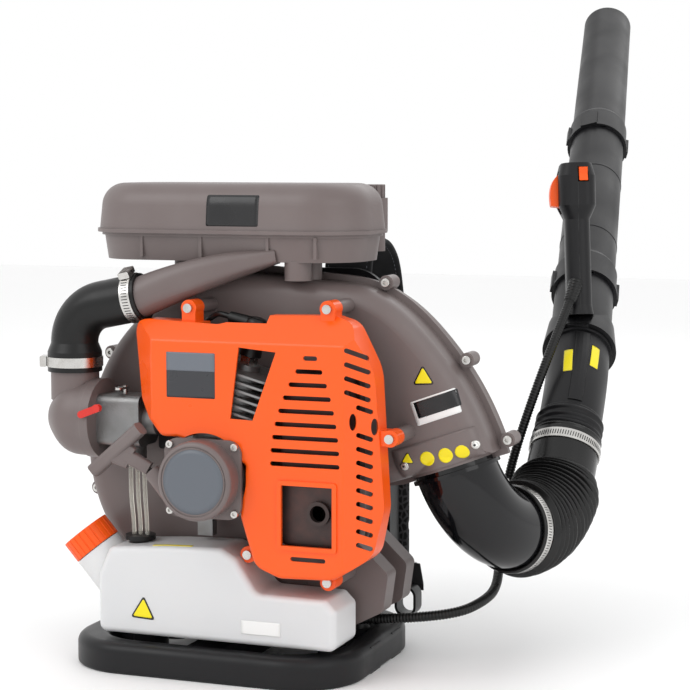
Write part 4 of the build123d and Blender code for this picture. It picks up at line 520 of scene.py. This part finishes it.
def rounded(corners, r, steps=4):
    """Convex outline, counter-clockwise: the corners' polygon grown by r."""
    found, n = [], len(corners)
    for i, (x, y) in enumerate(corners):
        before, after = corners[i - 1], corners[(i + 1) % n]
        a = atan2(y - before[1], x - before[0]) - pi / 2
        b = atan2(after[1] - y, after[0] - x) - pi / 2
        b += 2 * pi if b < a else 0
        found += [(x + r * cos(a + (b - a) * k / steps), y + r * sin(a + (b - a) * k / steps))
                  for k in range(steps + 1)]
    dense = []
    for a, b in zip(found, found[1:] + found[:1]):
        parts = max(1, int(sqrt((b[0] - a[0]) ** 2 + (b[1] - a[1]) ** 2) / FILM_EDGE))
        dense += [(a[0] + (b[0] - a[0]) * k / parts, a[1] + (b[1] - a[1]) * k / parts)
                  for k in range(parts)]
    return dense


def box_outline(width, height, r=1.5):
    w, h = width / 2 - r, height / 2 - r
    return rounded(((-w, -h), (w, -h), (w, h), (-w, h)), r)


def disc_outline(r):
    return [(r * cos(2 * pi * k / 48), r * sin(2 * pi * k / 48)) for k in range(48)]


def triangle_outline(side, r=1.5):
    half, low = side / 2 - 1.73 * r, -side * 0.2887 + r
    return rounded(((-half, low), (half, low), (0, side * 0.5774 - 2 * r)), r)


def sticker(name, node, centre, normal, up, outline, shader, slot_name, lift=0.0003):
    """Thin film laid on a CAD piece, following its surface. The outline is convex, in millimetres."""
    target = NODES[node]
    inverse = target.matrix_world.inverted()
    normal, centre = Vector(normal).normalized(), Vector(centre) * MM
    up = (Vector(up) - normal * Vector(up).dot(normal)).normalized()
    right = up.cross(normal)
    aim = (inverse.to_3x3() @ -normal).normalized()

    def laid(u, v, height):
        flat = centre + (right * u + up * v) * MM
        hit, place, _, _ = target.ray_cast(inverse @ (flat + normal * PROBE_HEIGHT), aim, distance=PROBE_REACH)
        return (target.matrix_world @ place if hit else flat) + normal * height

    verts = [laid(0, 0, lift)]
    for k in range(1, FILM_LEVELS + 1):
        verts += [laid(u * k / FILM_LEVELS, v * k / FILM_LEVELS, lift) for u, v in outline]
    verts += [laid(u, v, -0.0002) for u, v in outline]
    n = len(outline)
    faces = [(0, 1 + j, 1 + (j + 1) % n) for j in range(n)]
    for k in range(FILM_LEVELS):
        a, b = 1 + k * n, 1 + (k + 1) * n
        faces += [(a + j, b + j, b + (j + 1) % n, a + (j + 1) % n) for j in range(n)]
    film = mesh_object(name, verts, faces)
    paint(film, slot_name, shader)
    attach(film, body_of(target)[0])


def warning_triangle(name, node, centre, normal, up, side, base=0.0):
    """Yellow triangle with a dark edge and nothing on it."""
    for suffix, scale, r, shade, slot_name, lift in (("_edge", 1.0, 2.0, "black", "black_plastic", 0.0003),
                                                     ("", 0.80, 1.2, "yellow", "orange_plastic", 0.0006)):
        sticker(name + suffix, node, centre, normal, up, triangle_outline(side * scale, r), LABELS[shade],
                slot_name, base + lift)


def build_labels():
    """Plain coloured patches where the machine carries labels."""
    sticker("lid_panel", "air_cleaner_lid", (19, -88, 509), FRONT, UP, box_outline(62, 34, 2), LABELS["black"],
            "black_plastic")
    sticker("cover_panel", "engine_cover", (-3, -150, 334), FRONT, UP, box_outline(57, 49, 1), LABELS["slate"],
            "black_plastic")
    sticker("cover_panel_top", "engine_cover", (-3, -150, 348.5), FRONT, UP, box_outline(57, 20, 1),
            LABELS["blue_gray"], "starter_gray", 0.0006)
    sticker("starter_plate", "starter_housing", (12, -178, 223), FRONT, UP, disc_outline(35),
            SHADERS["starter_gray"], "starter_gray", 0.0005)
    sticker("outlet_band", "fan_housing_front", (247, -62, 250), FRONT, OUTLET_UP, box_outline(98, 33, 2),
            SHADERS["gray_plastic"], "gray_plastic", 0.0016)
    for i, along in enumerate((-40, 44)):
        # each screw is a steel washer ring, a steel head and a small dark disc in its middle; the disc is
        # painted shade standing for the shaded drive recess
        for ring, shade, lift in ((4.6, "steel", 0.0024), (3.3, "steel", 0.0044), (1.3, "black_steel", 0.0046)):
            place = Vector((247, -62, 250)) + Vector((0.946, 0, 0.326)) * along - OUTLET_UP * 3
            sticker(f"outlet_screw_{i}_{int(ring)}", "fan_housing_front", place, FRONT, UP, disc_outline(ring),
                    SHADERS[shade], "steel", lift)
    warning_triangle("housing_triangle", "fan_housing_front", (231, -62, 331), FRONT, (-0.06, 0, 1), 25)
    sticker("housing_panel", "fan_housing_front", (245, -62, 300), FRONT, (-0.36, 0, 1),
            box_outline(52, 27, 1.5), LABELS["white"], "tank_white")
    sticker("housing_panel_head", "fan_housing_front", (246.5, -62, 303.5), FRONT, (-0.36, 0, 1),
            box_outline(50, 18, 1), LABELS["black"], "black_plastic", 0.0006)
    warning_triangle("outlet_triangle", "fan_housing_front", (214, -62, 242), FRONT, UP, 16, 0.0016)
    for i, (x, z, tilt) in enumerate(((236, 244, 0.07), (256.5, 249, 0.11), (275, 253, 0.16))):
        sticker(f"outlet_patch_{i}", "fan_housing_front", (x, -61, z), (tilt, -1, -tilt * 2.6), UP,
                disc_outline(8), LABELS["yellow"], "orange_plastic", 0.0020)
    warning_triangle("tank_triangle", "fuel_tank", (-69, -137, 68), FRONT, (0.05, 0, 1), 30)
    sticker("tank_tag", "fuel_tank", (72, -137, 60), FRONT, UP, box_outline(46, 15, 1), LABELS["white"],
            "tank_white")
    sticker("tank_strip", "fuel_tank", (-36, -128, 141), UP, (0, 1, 0), box_outline(48, 6, 1), LABELS["yellow"],
            "orange_plastic")
    for i, (place, normal) in enumerate((((337, 283, 324), (0.66, -0.36, 0.66)),
                                         ((309, 263, 321), (-0.12, -0.58, 0.80)))):
        sticker(f"pipe_patch_edge_{i}", "swivel_pipe", place, normal, PIPE_DIR, box_outline(12.5, 41, 1.5),
                LABELS["black"], "black_plastic")
        sticker(f"pipe_patch_{i}", "swivel_pipe", place, normal, PIPE_DIR, box_outline(11, 38, 1.2),
                LABELS["yellow"], "orange_plastic", 0.0006)


build_labels()


# ------------------------------------------------- band slots and pipe ribs
BAND_LIFT = 0.00012                # keeps the slots clear of the band's face


def band_slots(name, centre, axis, radius, width, count, body):
    """Pressed slots of a worm-drive band."""
    a, b = side_axes(axis, (0.3, 1, 0.2))
    axis = Vector(axis).normalized()
    verts, faces = [], []
    for i in range(count):
        t = 2 * pi * i / count
        for du, dv in ((-0.0005, -1), (0.0005, -1), (0.0011, 1), (0.0001, 1)):
            spin = t + du / radius
            verts.append(centre + (a * cos(spin) + b * sin(spin)) * (radius + BAND_LIFT)
                         + axis * (dv * width / 2))
        faces.append(tuple(range(4 * i, 4 * i + 4)))
    slots = mesh_object(name, verts, faces, smooth=False)
    paint(slots, "steel", LABELS["black"])
    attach(slots, body)


def build_pipe_ribs():
    """Rings above the hose clamp and the raised strip along the swivel pipe."""
    line = arc_points(PIPE_BEND_START, HOSE_DIR, PIPE_DIR, PIPE_BEND, 120)

    def radius(s):
        return 0.0383 + 0.0030 * max(0.0, sin(2 * pi * (s - 0.001) / 0.0088)) ** 0.6

    ribs = tube("pipe_rings", line[:27], radius, 64, wall=lambda r: r - 0.0375)
    paint(ribs, "black_plastic")
    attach(ribs, "air_pipe")
    strip = arc_points(PIPE_BEND_START, HOSE_DIR, PIPE_DIR, PIPE_BEND, 60)[15:] + \
        straight_line(PIPE_START, on_pipe(16), 6)[1:]
    profile = [(-0.24, 0.0378), (-0.21, 0.0394), (-0.12, 0.0397), (0.0, 0.0398), (0.12, 0.0397), (0.21, 0.0394),
               (0.24, 0.0378), (0.0, 0.0374)]
    verts = []
    for point, direction in strip:
        x, y = side_axes(direction, (0.28, -0.53, 0.80))
        verts += [point + (x * cos(t) + y * sin(t)) * r for t, r in profile]
    n = len(profile)
    faces = loop_faces(len(strip), n, False) + [tuple(range(n)), tuple(range(len(verts) - n, len(verts)))]
    panel = mesh_object("pipe_strip", verts, faces, smooth=False)
    paint(panel, "black_plastic")
    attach(panel, "air_pipe")


HORN_DIR = Vector((-0.98, 0, -0.2)).normalized()
band_slots("clamp_slots_upper", HOSE_END + HOSE_DIR * 0.032, HOSE_DIR, 0.0430, 0.006, 88, "air_pipe")
band_slots("clamp_slots_lower", HOSE_START - ELBOW_DIR * 0.011, ELBOW_DIR, 0.05022, 0.006, 100, "machine")
band_slots("clamp_slots_horn", Vector((-95, -108, 411)) * MM - HORN_DIR * 0.006, HORN_DIR, 0.02762, 0.007, 52,
           "machine")
build_pipe_ribs()


# ----------------------------------------------------- back pad and straps
PAD_MIDDLE, PAD_SHRINK = Vector((0, 0.1123, 0.196)), (0.970, 0.66, 0.965)
PAD_VOXEL, PAD_PRESSURE, PAD_FRAMES = 0.006, 4, 20
PAD_MOST_MOVE = 0.006              # the cloth may swell this far
PAD_BACK, PAD_LAST_BACK = 0.0978, 0.0976    # the CAD pad's back face is at 0.0973; nothing goes behind these
CHANNEL_FROM = 0.112               # only the wearer's side is sewn
CHANNEL_ROWS, CHANNEL_COLUMNS = (0.135, 0.196, 0.257, 0.312), (-0.062, 0.062)
CHANNEL_HALF, CHANNEL_DEPTH = 0.005, 0.0045


def build_pad():
    """Crowned foam pad in open mesh fabric, with sewn channels on the wearer's side."""
    source = NODES["back_pad"]
    mesh = source.data.copy()
    mesh.transform(source.matrix_world)
    for v in mesh.vertices:
        v.co = PAD_MIDDLE + Vector([(v.co[k] - PAD_MIDDLE[k]) * PAD_SHRINK[k] for k in range(3)])
    pad = bpy.data.objects.new("mesh_pad", mesh)
    bpy.context.scene.collection.objects.link(pad)
    bpy.context.view_layer.objects.active = pad
    remesh = pad.modifiers.new("remesh", "REMESH")
    remesh.mode, remesh.voxel_size = "VOXEL", PAD_VOXEL
    bpy.ops.object.modifier_apply(modifier="remesh")
    start = [v.co.copy() for v in pad.data.vertices]
    cloth = pad.modifiers.new("cloth", "CLOTH")
    cloth.settings.use_pressure = True
    cloth.settings.uniform_pressure_force = PAD_PRESSURE
    cloth.settings.effector_weights.gravity = 0
    for number in range(1, PAD_FRAMES + 1):
        bpy.context.scene.frame_set(number)
    bpy.ops.object.modifier_apply(modifier="cloth")
    bpy.context.scene.frame_set(1)
    for v, first in zip(pad.data.vertices, start):
        move = v.co - first
        if move.length > PAD_MOST_MOVE:
            v.co = first + move * (PAD_MOST_MOVE / move.length)
        v.co.y = max(v.co.y, PAD_BACK)
    smooth = pad.modifiers.new("smooth", "SMOOTH")
    smooth.iterations = 4
    bpy.ops.object.modifier_apply(modifier="smooth")
    finer = pad.modifiers.new("finer", "SUBSURF")
    finer.levels = finer.render_levels = 1
    bpy.ops.object.modifier_apply(modifier="finer")
    for v in pad.data.vertices:
        if v.co.y > CHANNEL_FROM:
            across = min(abs(v.co.z - z) for z in CHANNEL_ROWS) / CHANNEL_HALF
            along = min(abs(v.co.x - x) for x in CHANNEL_COLUMNS) / CHANNEL_HALF
            deep = max(0.0, 1 - across) ** 0.6 + max(0.0, 1 - along) ** 0.6
            v.co.y -= CHANNEL_DEPTH * min(1.0, deep)
        v.co.y = max(v.co.y, PAD_LAST_BACK)
    for face in pad.data.polygons:
        face.use_smooth = True
    paint(pad, "pad_mesh")
    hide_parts("back_pad")
    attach(pad, "machine")


STRAP_X = 0.092
STRAP_ROUTE = ((76.4, 392), (78, 425), (83, 452), (104, 466), (128, 471), (156, 462), (182, 440), (199, 385),
               (210, 335), (208, 265), (200, 192), (181, 152), (156, 106), (138, 88), (110, 64))
PADDED_END = 0.455                 # share of the strap's length at which its padding ends
PADDED_HALF, PADDED_THICK = 0.029, 0.0046   # half width and half thickness of the padding
HALF_LOSS, THICK_LOSS = 0.0095, 0.0034      # what the webbing below has less


def strap_line(x):
    """The strap's middle line, at one x."""
    return spline_line(cord_curve("strap_line", [(x / MM, y, z) for y, z in STRAP_ROUTE]), 0.003)


def strap_section(share):
    """Half width, half thickness and edge bead of the strap at a share of its length."""
    blend_in = min(1.0, max(0.0, (share - PADDED_END) / 0.05))
    blend_in = blend_in * blend_in * (3 - 2 * blend_in)
    start_in = min(1.0, share / 0.04)
    half = PADDED_HALF - HALF_LOSS * blend_in
    thick = (PADDED_THICK - THICK_LOSS * blend_in) * (0.45 + 0.55 * start_in)
    return half, thick, 1 - blend_in


def build_strap(name, node, x):
    """Shoulder strap: padded and crowned above, flat webbing from the adjuster down."""
    line = strap_line(x)
    sides, verts, frames = 28, [], []
    for i, (point, direction) in enumerate(line):
        share = i / (len(line) - 1)
        half, thick, bead = strap_section(share)
        out = direction.cross(ACROSS).normalized()
        frames.append((point, direction, out, half, thick, share))
        for j in range(sides):
            t = 2 * pi * j / sides
            c, d = cos(t), sin(t)
            u = half * (abs(c) ** 0.55) * (1 if c >= 0 else -1)
            edge = abs(u) / half
            w = thick * (abs(d) ** 0.5) * (1 if d >= 0 else -1)
            w *= 1 - bead * (0.38 * edge ** 3 - 0.30 * max(0.0, edge - 0.86) / 0.14)
            verts.append(point + ACROSS * u + out * w)
    faces = loop_faces(len(line), sides, False)
    faces += [tuple(range(sides)), tuple(range(len(verts) - sides, len(verts)))]
    strap = mesh_object(name, verts, faces)
    paint(strap, "webbing")
    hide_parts(node)
    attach(strap, "machine")
    build_stitches(name + "_stitching", frames)
    build_adjuster(name + "_adjuster", frames)


def build_stitches(name, frames):
    """Short stitches along both edges and both faces of a strap."""
    verts, faces = [], []
    for i in range(2, len(frames) - 2, 2):
        point, direction, out, half, thick, share = frames[i]
        for side in (-1, 1):
            for face in (-1, 1):
                inset = half - (0.0052 if share < PADDED_END else 0.003)
                base = point + ACROSS * (side * inset) + out * (face * thick * 0.93)
                for du, dv in ((-0.00025, -0.0015), (0.00025, -0.0015), (0.00025, 0.0015), (-0.00025, 0.0015)):
                    verts.append(base + Vector((du, 0, 0)) + direction * dv)
                first = len(verts) - 4
                verts.append(base + out * (face * 0.0005))
                faces += [(first + k, first + (k + 1) % 4, first + 4) for k in range(4)]
    thread = mesh_object(name, verts, faces, smooth=False)
    paint(thread, "webbing", LABELS["blue_gray"])
    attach(thread, "machine")


def build_adjuster(name, frames):
    """Ladder-lock buckle where the padding ends and the webbing begins."""
    point, direction, out = next((p, d, o) for p, d, o, _, _, share in frames if share > PADDED_END + 0.05)
    bm = bmesh.new()
    for along, deep, lift in ((-0.014, 0.005, 0.0), (0.0, 0.004, 0.0022), (0.014, 0.005, 0.0)):
        make_bar(bm, point + direction * along + out * (0.0035 + lift), ACROSS * 0.024, direction * (deep / 2),
                 out * 0.0016)
    for side in (-1, 1):
        make_bar(bm, point + ACROSS * (side * 0.0225) + out * 0.0036, ACROSS * 0.0022, direction * 0.0165,
                 out * 0.0019)
    buckle = bar_object(name, bm, 0.0008)
    paint(buckle, "black_plastic")
    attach(buckle, "machine")


def make_bar(bm, centre, a, b, c):
    """Adds a box whose half sides are a, b and c."""
    corners = [bm.verts.new(centre + a * i + b * j + c * k) for i in (-1, 1) for j in (-1, 1) for k in (-1, 1)]
    for face in ((0, 1, 3, 2), (4, 6, 7, 5), (0, 4, 5, 1), (2, 3, 7, 6), (0, 2, 6, 4), (1, 5, 7, 3)):
        bm.faces.new([corners[i] for i in face])
    bmesh.ops.recalc_face_normals(bm, faces=bm.faces)


def bar_object(name, bm, edge):
    """Turns bars into a piece with rounded edges."""
    mesh = bpy.data.meshes.new(name)
    bm.to_mesh(mesh)
    bm.free()
    obj = bpy.data.objects.new(name, mesh)
    bpy.context.scene.collection.objects.link(obj)
    bevel = obj.modifiers.new("soft_edges", "BEVEL")
    bevel.width, bevel.segments, bevel.limit_method = edge, 3, "ANGLE"
    return obj


def build_pull_loop():
    """Folded webbing loop with a white tag, sewn to the pad's lower corner round the ring."""
    route = ((0.165, 0.0995, 0.092), (0.165, 0.1075, 0.076), (0.165, 0.1125, 0.066), (0.165, 0.1130, 0.058))
    for name, width, shade, slot_name, out in (("corner_webbing", 0.019, None, "webbing", 0.0),
                                                ("corner_tag", 0.010, LABELS["white"], "webbing", 0.0022)):
        bm = bmesh.new()
        for a, b in zip(route, route[1:]):
            a, b = Vector(a), Vector(b)
            run = b - a
            normal = ACROSS.cross(run).normalized()
            make_bar(bm, (a + b) / 2 + normal * out, ACROSS * (width / 2), run * 0.52, normal * 0.0010)
        piece = bar_object(name, bm, 0.0004)
        paint(piece, slot_name, shade)
        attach(piece, "machine")


build_pad()
build_strap("padded_strap_left", "shoulder_strap_left", -STRAP_X)
build_strap("padded_strap_right", "shoulder_strap_right", STRAP_X)
build_pull_loop()

# ------------------------------------------------------- camera and studio
FLOOR_SIZE = 14
LAMPS = (("key", (-1.6, -2.2, 2.6), 2.2, 34), ("fill", (2.6, -1.6, 1.7), 2.0, 15),
         ("back", (0.4, 2.4, 2.4), 2.4, 16))                # name, place, side and power
LAMPS_AIM = Vector((0.1, 0.1, 0.3))
VIEW_AIM, VIEW_DISTANCE = Vector((0.128, -0.027, 0.36)), 2.16
VIEW_AZIMUTH, VIEW_ELEVATION = radians(20.6), radians(5.5)
LENS, SENSOR = 101.7, 36


def build_stage():
    """Floor, white studio, three square lamps and the photograph's camera."""
    bpy.ops.mesh.primitive_plane_add(size=FLOOR_SIZE)
    floor = bpy.context.object
    floor.name = "floor"
    s = Shader("floor_paint", (0.95, 0.95, 0.95), 0.6).grain(60, 0.02)
    floor.data.materials.append(s.mat)
    world = bpy.data.worlds.new("studio")
    bpy.context.scene.world = world
    world.use_nodes = True
    world.node_tree.nodes["Background"].inputs["Color"].default_value = (1, 1, 1, 1)
    world.node_tree.nodes["Background"].inputs["Strength"].default_value = 1.0
    bpy.context.scene.view_settings.view_transform = "Standard"
    for name, place, size, power in LAMPS:
        lamp = bpy.data.lights.new(name, "AREA")
        lamp.shape, lamp.size, lamp.energy = "SQUARE", size, power
        obj = bpy.data.objects.new(name, lamp)
        obj.location = place
        obj.rotation_euler = (LAMPS_AIM - Vector(place)).to_track_quat("-Z", "Y").to_euler()
        bpy.context.scene.collection.objects.link(obj)
    camera = bpy.data.objects.new("camera", bpy.data.cameras.new("camera"))
    camera.location = VIEW_AIM + VIEW_DISTANCE * Vector((sin(VIEW_AZIMUTH) * cos(VIEW_ELEVATION),
                                                         -cos(VIEW_AZIMUTH) * cos(VIEW_ELEVATION),
                                                         sin(VIEW_ELEVATION)))
    camera.rotation_euler = (VIEW_AIM - camera.location).to_track_quat("-Z", "Y").to_euler()
    camera.data.lens, camera.data.sensor_width = LENS, SENSOR
    bpy.context.scene.collection.objects.link(camera)
    bpy.context.scene.camera = camera


build_stage()
